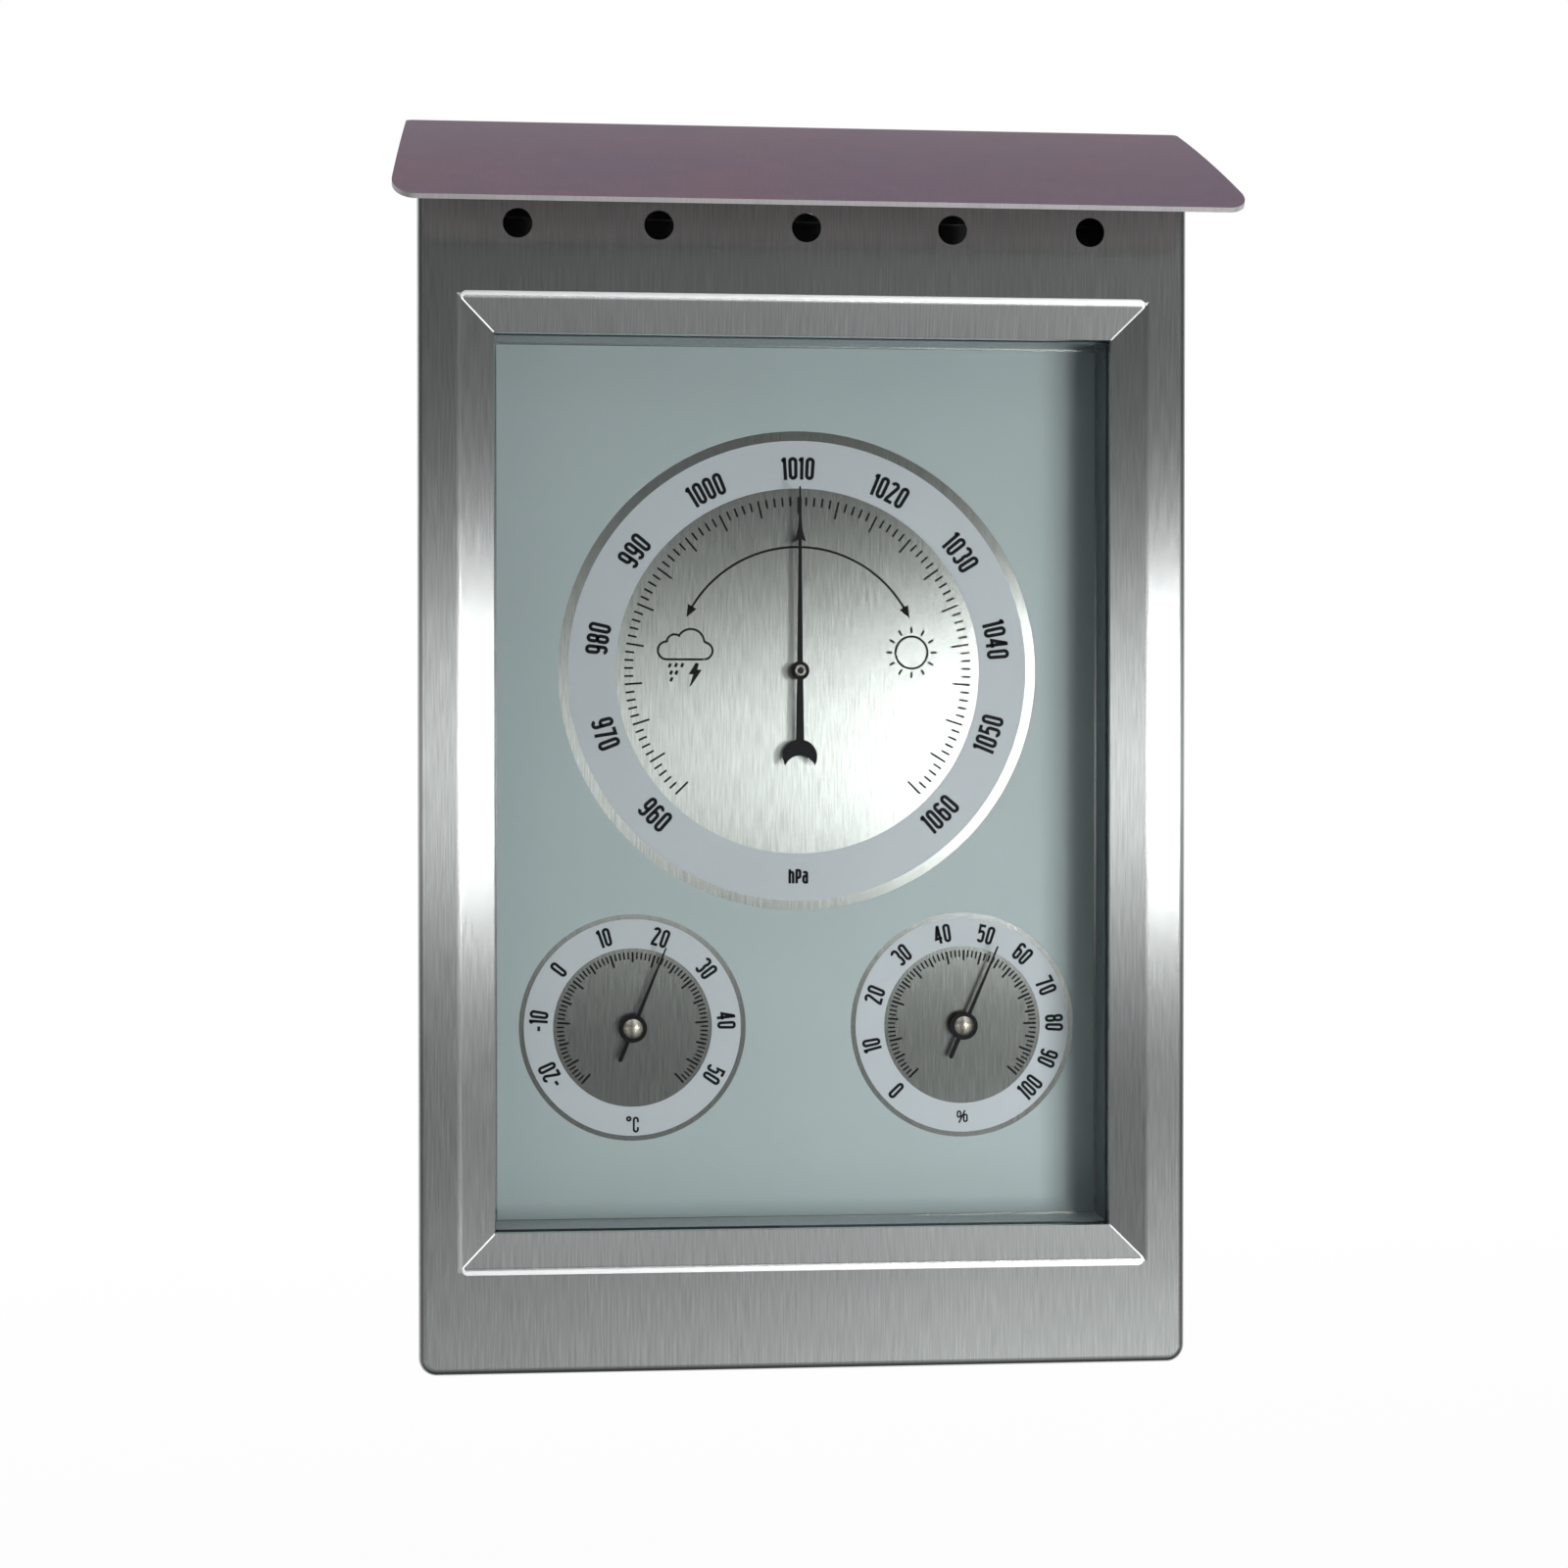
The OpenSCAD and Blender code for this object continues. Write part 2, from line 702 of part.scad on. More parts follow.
// Bushes in the dial plate that guide the two small arbors
module dial_bushes() {
    color("goldenrod") on_wall() for (side = [-1, 1]) difference() {
        bar(bush_r, plate_y - bush_front, plate_back_y + bush_back, side * small_dx, small_z);
        bar(small_arbor_r + running_gap, plate_y - bush_front - cut, plate_back_y + bush_back + cut,
            side * small_dx, small_z);
    }
}

// Outline symmetric about z, from a list of [half width, z] going outwards
module mirrored_outline(half) {
    polygon(concat(half, [for (i = [len(half) - 1:-1:0]) [-half[i][0], half[i][1]]]));
}

// Shaft of the barometer pointer: widest at the crescent, with a barbed head and a thin tip
module barometer_shaft(tail_z) {
    barb_z = baro_pointer_l - barb_l;
    tip_z = baro_pointer_l - tip_l;
    mirrored_outline([[tail_half, tail_z], [shaft_half, 0], [waist_half, barb_z + barb_sweep],
        [barb_half, barb_z], [0.6 * barb_half, barb_z + 3 * barb_sweep],
        [0.35 * barb_half, barb_z + 6.5 * barb_sweep], [neck_half, barb_z + 11 * barb_sweep],
        [neck_half, tip_z], [tip_half, tip_z + tip_half], [tip_half, baro_pointer_l]]);
}

// Crescent on the tail, with its horns pointing away from the hub
module crescent(z) {
    difference() {
        translate([0, z]) circle(crescent_r);
        translate([0, z - crescent_r + bite_rise]) circle(crescent_r - horn_w);
    }
}

module barometer_pointer() {
    front = plate_y - baro_pointer_h;
    crescent_z = -tail_l + crescent_r / 2;
    color("black") on_wall() translate([0, 0, baro_z]) difference() {
        slab(front, front + pointer_t) {
            barometer_shaft(crescent_z + crescent_r - clear_gap);
            crescent(crescent_z);
            circle(baro_hub_r);
        }
        bar(arbor_r, front - cut, front + pointer_t + cut);
    }
}

// Polished ring that clamps the pointer on its arbor
module barometer_hub_cap() {
    front = plate_y - baro_pointer_h;
    ring_r = arbor_r + cap_wall;
    fillet_r = cap_wall / 2;
    color("silver") on_wall() translate([0, front, baro_z]) rotate([90, 0, 0]) rotate_extrude() {
        translate([arbor_r, 0]) square([ring_r - arbor_r, cap_h]);
        translate([arbor_r + fillet_r, cap_h]) intersection() {
            circle(fillet_r);
            translate([-fillet_r, 0]) square(2 * fillet_r);
        }
    }
}

// Arbor with its shoulder, drum and hairspring collet
module pointer_arbor() {
    front = plate_y - baro_pointer_h;
    color("goldenrod") on_wall() {
        bar(arbor_r, front - arbor_nose, collet_y, 0, baro_z);
        bar(arbor_r + shoulder_w, front + pointer_t, front + pointer_t + shoulder_l, 0, baro_z);
        for (y = [drum_y - drum_flange_t, drum_y + drum_w])
            bar(drum_r + drum_flange_w, y, y + drum_flange_t, 0, baro_z);
        bar(drum_r, drum_y, drum_y + drum_w, 0, baro_z);
        bar(collet_r, collet_y, collet_y + collet_l, 0, baro_z);
        bar(rear_pivot_r, collet_y, arbor_end_y, 0, baro_z);
    }
}

// Flat spiral strip from an inner to an outer radius, starting at angle a0
module spiral(r_in, r_out, turns, thick, a0) {
    steps = floor(turns * 360 / coil_step);
    function radius(i) = r_in + (r_out - r_in) * i / steps;
    polygon(concat(
        [for (i = [0:steps]) let (a = a0 + 360 * turns * i / steps) radius(i) * [cos(a), sin(a)]],
        [for (i = [steps:-1:0]) let (a = a0 + 360 * turns * i / steps)
            (radius(i) + thick) * [cos(a), sin(a)]]
    ));
}

// Hairspring that takes up the slack of the chain
module hairspring() {
    y = collet_y + (collet_l - hairspring_w) / 2;
    color("steelblue") on_wall() translate([0, 0, baro_z]) slab(y, y + hairspring_w)
        spiral(hairspring_in_r, hairspring_out_r, hairspring_turns, hairspring_t, -90);
}

// Bracket that holds the rear pivot of the arbor
module arbor_cock() {
    color("goldenrod") on_wall() translate([0, 0, baro_z]) difference() {
        union() {
            slab(cock_y, cock_y + cock_t) {
                centred(cock_w, -cock_span, cock_span);
                for (side = [-1, 1]) translate([0, side * cock_span]) circle(cock_w / 2);
            }
            for (side = [-1, 1]) bar(cock_post_r, bridge_back_y, cock_y + cock_t, 0, side * cock_span);
        }
        bar(rear_pivot_r + running_gap, cock_y - cut, cock_y + cock_t + cut);
    }
}

// Calls its children at the place of each movement stud
module at_pillars() {
    for (a = pillar_angles)
        translate([pillar_ring_r * cos(a), 0, baro_z + base_dz + pillar_ring_r * sin(a)]) children();
}

// Front plate of the movement: a hub with three arms, and the stud that holds the hairspring
module movement_bridge() {
    hub_r = cock_span + cock_w / 2 + 1;
    stud_z = -(hairspring_out_r + hairspring_t + hairspring_stud_r + running_gap);
    color("goldenrod") on_wall() {
        difference() {
            union() {
                bar(hub_r, bridge_y, bridge_back_y, 0, baro_z);
                for (a = pillar_angles) translate([0, 0, baro_z + base_dz])
                    slab(bridge_y, bridge_back_y) rotate(a)
                        translate([0, -bridge_arm_r]) square([pillar_ring_r, 2 * bridge_arm_r]);
                at_pillars() bar(bridge_arm_r, bridge_y, bridge_back_y);
            }
            bar(arbor_r + running_gap, bridge_y - cut, bridge_back_y + cut, 0, baro_z);
            at_pillars() bar(stud_r + hole_gap, bridge_y - cut, bridge_back_y + cut);
        }
        bar(hairspring_stud_r, bridge_y + bridge_t / 2, collet_y + collet_l, 0, baro_z + stud_z);
    }
}

// Three studs on the dial plate that carry the whole movement
module movement_studs() {
    color("lightsteelblue") on_wall() at_pillars()
        bar(stud_r, plate_back_y, base_back_y + nut_t + stud_end);
}

// Sleeves on the studs: short ones before the bridge, long ones between the two plates
module movement_sleeves() {
    spans = [[plate_back_y, bridge_y], [bridge_back_y, base_y]];
    color("goldenrod") on_wall() at_pillars() for (ends = spans)
        difference() {
            bar(2 * stud_r, ends[0], ends[1]);
            bar(stud_r + running_gap, ends[0] - cut, ends[1] + cut);
        }
}

module movement_nuts() {
    color("lightsteelblue") on_wall() {
        at_pillars() hex_nut(stud_r, base_back_y, 0, 0);
        hex_nut(adjuster_r, base_back_y, capsule_dx, baro_z + lever_dz);
    }
}

// Round rear plate of the movement
module movement_base() {
    color("goldenrod") on_wall() difference() {
        bar(base_r, base_y, base_back_y, 0, baro_z + base_dz);
        at_pillars() bar(stud_r + hole_gap, base_y - cut, base_back_y + cut);
        for (x = [capsule_dx, post_dx])
            bar(adjuster_r + running_gap, base_y - cut, base_back_y + cut, x, baro_z + lever_dz);
    }
}

// Sealed capsule with corrugated faces and the threaded stud behind it
module aneroid_capsule() {
    wave_r = 0.9;
    waves = 4;
    first_wave_r = capsule_r * 0.3;
    wave_pitch = (capsule_r * 0.84 - first_wave_r) / (waves - 1);
    color("gold") on_wall() translate([0, 0, baro_z + lever_dz]) {
        bar(capsule_r, capsule_y + wave_r + seam_step, capsule_y + capsule_t - wave_r - seam_step,
            capsule_dx);
        bar(capsule_r * 0.93, capsule_y + wave_r, capsule_y + capsule_t - wave_r, capsule_dx);
        bar(capsule_boss_r, capsule_y, base_y, capsule_dx);
        bar(adjuster_r, base_y, base_back_y + nut_t + stud_end, capsule_dx);
        for (i = [0:waves - 1], y = [capsule_y + wave_r, capsule_y + capsule_t - wave_r])
            translate([capsule_dx, y, 0]) rotate([90, 0, 0]) rotate_extrude()
                translate([first_wave_r + i * wave_pitch, 0]) circle(wave_r * 0.9, $fn = 24);
    }
}

// Post from the capsule through the leaf spring, with its retaining collar
module capsule_post() {
    color("silver") on_wall() translate([0, 0, baro_z + lever_dz]) {
        bar(post_r, leaf_y + leaf_t, capsule_y, capsule_dx);
        bar(post_neck_r, leaf_y, leaf_y + leaf_t, capsule_dx);
        bar(post_r, leaf_y - post_collar_t, leaf_y, capsule_dx);
    }
}

// Flat spring that holds the capsule open, clamped on the post and tapering over the capsule
module leaf_spring() {
    tip_dx = capsule_dx - leaf_tip_l;
    color("steelblue") on_wall() translate([0, 0, baro_z + lever_dz]) difference() {
        slab(leaf_y, leaf_y + leaf_t) polygon([[post_dx + post_w / 2, -leaf_w / 2],
            [post_dx + post_w / 2, leaf_w / 2], [lever_axis_dx, leaf_w / 2], [tip_dx, leaf_tip_w / 2],
            [tip_dx, -leaf_tip_w / 2], [lever_axis_dx, -leaf_w / 2]]);
        bar(post_neck_r + running_gap, leaf_y - cut, leaf_y + leaf_t + cut, capsule_dx);
        bar(screw_r + running_gap, leaf_y - cut, leaf_y + leaf_t + cut, post_dx);
    }
}

// Block on the base plate that the leaf spring is clamped to
module spring_post() {
    color("goldenrod") on_wall() translate([0, 0, baro_z + lever_dz]) difference() {
        block([post_dx - post_w / 2, post_dx + post_w / 2], [leaf_y + leaf_t, base_y],
            [-leaf_w / 2, leaf_w / 2]);
        bar(screw_r + running_gap, leaf_y, leaf_y + leaf_t + clamp_l + stud_end, post_dx);
    }
}

// Cheese-head screw that clamps the leaf spring
module spring_screw() {
    head_y = leaf_y - cheese_head_t;
    color("lightsteelblue") on_wall() translate([0, 0, baro_z + lever_dz]) difference() {
        union() {
            bar(screw_head_r, head_y, leaf_y, post_dx);
            bar(screw_r, leaf_y, leaf_y + leaf_t + clamp_l, post_dx);
        }
        translate([post_dx, 0, 0]) screw_slot(head_y - cut, head_y + slot_d, screw_head_r + cut);
    }
}

// Lever that carries the leaf spring's motion across to the link
module main_lever() {
    tip_dx = link_dx - link_hole_r - link_wall;
    foot_dx = lever_axis_dx - foot_l - foot_gap;
    color("goldenrod") on_wall() translate([0, 0, baro_z + lever_dz]) {
        difference() {
            slab(lever_y, lever_y + lever_t) polygon([[foot_dx + foot_l, -foot_w / 2],
                [foot_dx + foot_l, foot_w / 2], [foot_dx, foot_w / 2],
                [foot_dx - foot_taper, lever_w / 2], [tip_dx, lever_w / 2],
                [tip_dx, -lever_w / 2], [foot_dx - foot_taper, -lever_w / 2],
                [foot_dx, -foot_w / 2]]);
            bar(link_hole_r, lever_y - cut, lever_y + lever_t + cut, link_dx);
        }
        block([foot_dx, foot_dx + foot_l], [lever_y + lever_t / 2, leaf_y - clear_gap],
            [-foot_w / 2, foot_w / 2]);
    }
}

// Thin rod with a head at each end, from the lever's tip to the crank
module lever_link() {
    front = lever_y - link_front_gap;
    back = rocker_y + crank_t / 2 + link_back_gap;
    color("silver") on_wall() translate([link_dx, 0, baro_z + lever_dz]) {
        bar(pin_r, front, back);
        bar(link_head_r, front - link_head_t, front);
        bar(link_head_r, back, back + link_head_t);
    }
}

// Round bar along the height, at a place and depth behind the front face
module upright(r, low, high, x, y) {
    translate([x, y, low]) cylinder(r = r, h = high - low);
}

// Rocking shaft with the crank for the link and the arm for the chain
module rocking_shaft() {
    end_gap = clear_gap;
    color("silver") on_wall() translate([0, 0, baro_z]) {
        upright(shaft_r, ear_low_dz - ear_t - stud_end, ear_high_dz + ear_t + stud_end,
            rocker_dx, rocker_y);
        upright(shaft_hub_r, ear_low_dz + end_gap, lever_dz + crank_w / 2, rocker_dx, rocker_y);
        upright(shaft_hub_r, arm_dz - arm_w / 2, ear_high_dz - end_gap, rocker_dx, rocker_y);
        difference() {
            block([rocker_dx, link_dx + link_hole_r + crank_wall],
                [rocker_y - crank_t / 2, rocker_y + crank_t / 2],
                [lever_dz - crank_w / 2, lever_dz + crank_w / 2]);
            bar(link_hole_r, rocker_y - crank_t, rocker_y + crank_t, link_dx, lever_dz);
        }
        block([rocker_dx - arm_w / 2, rocker_dx + arm_w / 2], [chain_y, rocker_y],
            [arm_dz - arm_w / 2, arm_dz + arm_w / 2]);
        upright(arm_w / 2, arm_dz - arm_w / 2, arm_dz + arm_w / 2, rocker_dx, chain_y);
        upright(pin_r, arm_dz, chain_dz + chain_h / 2 + stud_end, rocker_dx, chain_y);
    }
}

// Folded bracket on the base plate with the two bearings of the rocking shaft
module rocker_bracket() {
    foot_t = 1;
    x = [rocker_dx - ear_w / 2, rocker_dx + ear_w / 2];
    color("goldenrod") on_wall() translate([0, 0, baro_z]) difference() {
        union() {
            block(x, [base_y - foot_t, base_y], [ear_low_dz - ear_t, ear_high_dz + ear_t]);
            for (z = [ear_low_dz - ear_t, ear_high_dz]) {
                block(x, [rocker_y, base_y], [z, z + ear_t]);
                upright(ear_w / 2, z, z + ear_t, rocker_dx, rocker_y);
            }
        }
        upright(shaft_r + running_gap, ear_low_dz - 2 * ear_t, ear_high_dz + 2 * ear_t,
            rocker_dx, rocker_y);
    }
}

// Fine chain from the rocker arm to the drum, drawn straight
module drive_chain() {
    start = rocker_dx + eye_r - 0.2;
    rollers = floor(-(start + chain_pitch) / chain_pitch);
    color("silver") on_wall() translate([0, 0, baro_z + chain_dz - chain_h / 2]) {
        difference() {
            upright(eye_r, 0, chain_h, rocker_dx, chain_y);
            upright(eye_hole_r, -cut, chain_h + cut, rocker_dx, chain_y);
        }
        block([start, 0.5], [chain_y - chain_t / 2, chain_y + chain_t / 2], [0, chain_h]);
        for (i = [1:rollers]) upright(roller_r, 0, chain_h, start + i * chain_pitch, chain_y);
    }
}

// Slotted screw behind the spring post, reached through the back plate
module adjusting_screw() {
    head_y = base_back_y + clear_gap;
    head_back_y = head_y + adjuster_head_t;
    color("gold") on_wall() translate([0, 0, baro_z + lever_dz]) difference() {
        union() {
            bar(adjuster_r, base_y + clear_gap, head_y, post_dx);
            bar(adjuster_head_r, head_y, head_back_y, post_dx);
        }
        block([post_dx - adjuster_head_r - cut, post_dx + adjuster_head_r + cut],
            [head_back_y - adjuster_slot_d, head_back_y + cut],
            [-adjuster_slot_w / 2, adjuster_slot_w / 2]);
    }
}

// Small pointer with its round hub, turned to its reading
module small_pointer(x, reading) {
    front = plate_y - small_pointer_h;
    color("black") on_wall() translate([x, 0, small_z]) difference() {
        slab(front, front + pointer_t) rotate(-reading) {
            mirrored_outline([[small_tail_r - running_gap, -small_tail_l + small_tail_r],
                [small_tail_r - running_gap, 0], [small_tip_half, small_pointer_l]]);
            translate([0, -small_tail_l + small_tail_r]) circle(small_tail_r);
            circle(small_hub_r);
        }
        bar(small_arbor_r, front - cut, front + pointer_t + cut);
    }
}

// Domed cap on a small pointer's hub
module small_hub(x) {
    front = plate_y - small_pointer_h;
    dome_r = small_hub_r - dome_step;
    ball_r = (dome_r * dome_r + dome_h * dome_h) / (2 * dome_h);
    color("silver") on_wall() translate([x, front, small_z]) rotate([90, 0, 0]) rotate_extrude()
        intersection() {
            translate([0, dome_h - ball_r]) circle(ball_r);
            square([dome_r, dome_h + cut]);
        }
}

// Small arbor with the collet inside its coil
module small_arbor(x, coil_w) {
    front = plate_y - small_pointer_h;
    color("goldenrod") on_wall() {
        bar(small_arbor_r, front, coil_y + coil_w + bracket_back_gap + bracket_t + stud_end, x, small_z);
        bar(collet_small_r, front + pointer_t, plate_y - bush_front - clear_gap, x, small_z);
        bar(collet_small_r, coil_y - coil_gap, coil_y + coil_w + coil_gap, x, small_z);
    }
}

// Coiled strip that winds up with temperature or humidity
module small_coil(x, coil_r, coil_w) {
    translate([x, 0, small_z]) slab(coil_y, coil_y + coil_w)
        spiral(collet_small_r + clear_gap, coil_r, small_coil_turns, strip_t, 0);
}

// Bracket behind the dial plate: two feet, two legs and the bar with the rear bearing
module small_bracket(x, coil_r, coil_w) {
    leg_x = coil_r + strip_t + running_gap;
    bar_y = coil_y + coil_w + bracket_back_gap;
    color("lightgray") on_wall() translate([x, 0, small_z]) difference() {
        union() {
            slab(bar_y, bar_y + bracket_t)
                centred(2 * (leg_x + bracket_t), -bracket_w / 2, bracket_w / 2);
            for (side = [0, 1]) mirror([side, 0, 0]) {
                block([leg_x, leg_x + bracket_t], [plate_back_y, bar_y + bracket_t],
                    [-bracket_w / 2, bracket_w / 2]);
                block([leg_x, leg_x + bracket_foot_l], [plate_back_y, plate_back_y + bracket_t],
                    [-bracket_w / 2, bracket_w / 2]);
            }
        }
        bar(small_arbor_r + running_gap, bar_y - cut, bar_y + bracket_t + cut);
    }
}

module thermometer_pointer() { small_pointer(-small_dx, thermo_reading); }
module thermometer_hub() { small_hub(-small_dx); }
module thermometer_arbor() { small_arbor(-small_dx, thermo_coil_w); }
module thermometer_coil() { color("peru") on_wall() small_coil(-small_dx, thermo_coil_r, thermo_coil_w); }
module thermometer_bracket() { small_bracket(-small_dx, thermo_coil_r, thermo_coil_w); }
module hygrometer_pointer() { small_pointer(small_dx, hygro_reading); }
module hygrometer_hub() { small_hub(small_dx); }
module hygrometer_arbor() { small_arbor(small_dx, hygro_coil_w); }
module hygrometer_coil() { color("wheat") on_wall() small_coil(small_dx, hygro_coil_r, hygro_coil_w); }
module hygrometer_bracket() { small_bracket(small_dx, hygro_coil_r, hygro_coil_w); }

front_casing();
roof_sheet();
back_plate();
back_plate_screws();
clinch_nuts();
casing_studs();
plate_nuts();
glass_gasket();
glass_pane();
spacer_frame();
dial_plate();
dial_print();
scale_bands();
dial_bushes();
barometer_pointer();
barometer_hub_cap();
pointer_arbor();
hairspring();
arbor_cock();
movement_bridge();
movement_studs();
movement_sleeves();
movement_nuts();
movement_base();
aneroid_capsule();
capsule_post();
leaf_spring();
spring_post();
spring_screw();
main_lever();
lever_link();
rocking_shaft();
rocker_bracket();
drive_chain();
adjusting_screw();
thermometer_pointer();
thermometer_hub();
thermometer_arbor();
thermometer_coil();
thermometer_bracket();
hygrometer_pointer();
hygrometer_hub();
hygrometer_arbor();
hygrometer_coil();
hygrometer_bracket();
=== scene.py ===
"""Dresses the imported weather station: metal, enamel and glass finishes, printed scales, light and camera."""
import json
import math

import bmesh
import bpy
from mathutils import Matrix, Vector


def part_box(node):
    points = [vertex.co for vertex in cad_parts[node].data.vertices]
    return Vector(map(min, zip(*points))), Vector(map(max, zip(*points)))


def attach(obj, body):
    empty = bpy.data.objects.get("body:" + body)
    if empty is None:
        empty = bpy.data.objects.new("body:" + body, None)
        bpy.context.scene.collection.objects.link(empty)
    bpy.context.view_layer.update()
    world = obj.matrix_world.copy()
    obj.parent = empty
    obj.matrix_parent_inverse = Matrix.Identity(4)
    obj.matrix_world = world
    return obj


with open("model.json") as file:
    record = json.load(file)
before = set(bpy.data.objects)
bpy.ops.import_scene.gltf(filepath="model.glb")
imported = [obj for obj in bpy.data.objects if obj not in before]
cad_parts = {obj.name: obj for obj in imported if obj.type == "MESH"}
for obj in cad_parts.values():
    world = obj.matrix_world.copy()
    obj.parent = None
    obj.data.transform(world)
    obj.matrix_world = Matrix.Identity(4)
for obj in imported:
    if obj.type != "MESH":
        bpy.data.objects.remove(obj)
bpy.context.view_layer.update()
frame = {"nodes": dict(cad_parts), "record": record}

# Sizes on the part are in millimetres, and this turns them into Blender's metres
MM = 0.001

# Dial faces: rise of the print above its ground, gap that its strokes are welded over, the two grounds
# that it lies on, and the middles of the three dials
PRINT_RISE = 0.03
PRINT_WELD = 0.02
PLATE_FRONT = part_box("dial_plate")[0].y / MM
ENAMEL_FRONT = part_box("scale_bands")[0].y / MM


def middle_of(node):
    low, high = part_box(node)
    return (low.x + high.x) / 2 / MM, (low.z + high.z) / 2 / MM


BAROMETER = middle_of("barometer_hub_cap")
THERMOMETER = middle_of("thermometer_hub")
HYGROMETER = middle_of("hygrometer_hub")

# Barometer scale: hectopascals at its ends and its top, degrees of turn for each, then the ticks on the
# bare disc, the numerals on the enamel band (past the flip angle they stand on the outside) and the unit
BARO_LOW, BARO_HIGH, BARO_TOP = 960, 1060, 1010
BARO_STEP = 2.7
BARO_TICK_OUT = 48.8
BARO_TICK_SHORT = 2.5
BARO_TICK_LONG = 4.9
BARO_TICK_STROKE = 0.55
BARO_LABEL_R = 56.8
BARO_LABEL_H = 6.3
BARO_STROKE = 0.98
BARO_FLIP = 90
BARO_UNIT_H = 4.0
BARO_UNIT_STROKE = 0.76
BARO_UNIT_DROP = 57.6

# Thermometer scale: degrees Celsius at its ends and its top, and degrees of turn for each
THERMO_LOW, THERMO_HIGH, THERMO_TOP = -25, 55, 15
THERMO_STEP = 3.44
THERMO_LABELS = range(-20, 51, 10)
THERMO_UNIT_STROKE = 0.58
THERMO_UNIT_DROP = 27.2

# Hygrometer scale: per cent of humidity, whose steps close up towards the damp end, and the even pitch
# in degrees of the short marks between the tens
HYGRO_START, HYGRO_STEP, HYGRO_CLOSING = -134.5, 3.3, 0.0063
HYGRO_TENS = range(0, 101, 10)
HYGRO_PITCH = 3.5
HYGRO_UNIT_STROKE = 0.46
HYGRO_UNIT_DROP = 26

# Both small dials: outer radius of all ticks, and inner radius of the short, middle and long ones
SMALL_TICK_OUT = 21.1
SMALL_TICK_SHORT = 19.1
SMALL_TICK_MIDDLE = 18.25
SMALL_TICK_LONG = 17.5
SMALL_TICK_STROKE = 0.46
SMALL_TICK_BOLD = 0.58
SMALL_LABEL_R = 26.3
SMALL_LABEL_H = 5.2
SMALL_STROKE = 0.8
SMALL_FLIP = 130
SMALL_UNIT_H = 4.5

# Weather symbols, from the barometer's middle: the sun's rays run between two radii, the cloud's puffs
# are arcs as x, z, radius, start, end and steps, and the double arrow lies along an arc
SYMBOL_STROKE = 0.62
SUN_AT = (32.0, 5.3)
SUN_R = 4.5
SUN_CORNERS = 48
SUN_RAY = (5.5, 7.1)
SUN_RAY_TURNS = range(0, 360, 30)
CLOUD_START = (-26.6, 3.2)
CLOUD_PUFFS = [
    (-36.9, 5.7, 2.5, 270, 110, 12), (-34.7, 8.0, 2.2, 175, 55, 8),
    (-30.2, 7.9, 3.8, 148, 5, 14), (-26.5, 5.6, 2.4, 80, -88, 12),
]
DROPS = [(-36.05, 1.5), (-34.3, 1.6), (-32.6, 1.6), (-35.7, -0.5), (-34.2, -0.5), (-35.6, -2.4)]
DROP_HALF_W, DROP_HALF_H = 0.25, 0.55
DROP_STROKE = 0.78
BOLT = [
    (-28.8, 2.3), (-27.9, 2.0), (-28.4, 0.35), (-27.1, 0.3), (-30.2, -4.3), (-30.5, -4.2),
    (-29.5, -0.95), (-30.8, -0.95),
]
ARROW_R = 34.8
ARROW_SHAFT = range(-60, 61, 3)
ARROW_HEAD = 62.5
ARROW_POINT, ARROW_BARB, ARROW_HALF_W = 1.2, 2.2, 1.4

# Border of the window: a sloped band behind a rounded fold
BORDER_W = 10
BORDER_ANGLE = math.radians(20.5)
BORDER_SLOPE = math.tan(BORDER_ANGLE)
FOLD_R = 4
FOLD_RUN = FOLD_R * math.sin(BORDER_ANGLE)
FOLD_RISE = FOLD_R * (1 - math.cos(BORDER_ANGLE))
GASKET_LAP = 5.5

# Beads on the border's folds and mitres, near white as painted highlights of the bends: their widths, the
# rounded hook at each outer corner, and a section that is arched, sinks at its edges and is rooted in the
# metal
MITRE_BEAD = 0.5
FOLD_BEAD_LEFT = 1.4
FOLD_BEAD_RIGHT = 1.75
HOOK_R = 1.1
HOOK_TURN = 135
MITRE_STEPS, HOOK_STEPS, FOLD_STEPS = 12, 14, 30
BEAD_SAMPLES = (-1, -0.6, 0, 0.6, 1)
BEAD_RISE = 0.07
BEAD_SINK = 0.02
BEAD_ROOT = 0.15

# Camera, placed as the photograph was taken: metres, degrees, and millimetres for lens and sensor
CAMERA_AT = (-0.0709, -0.7977, -0.131)
CAMERA_TURN = (89.296, 0, -5.031)
CAMERA_LENS = 62.4
SENSOR = 36


# Node graphs

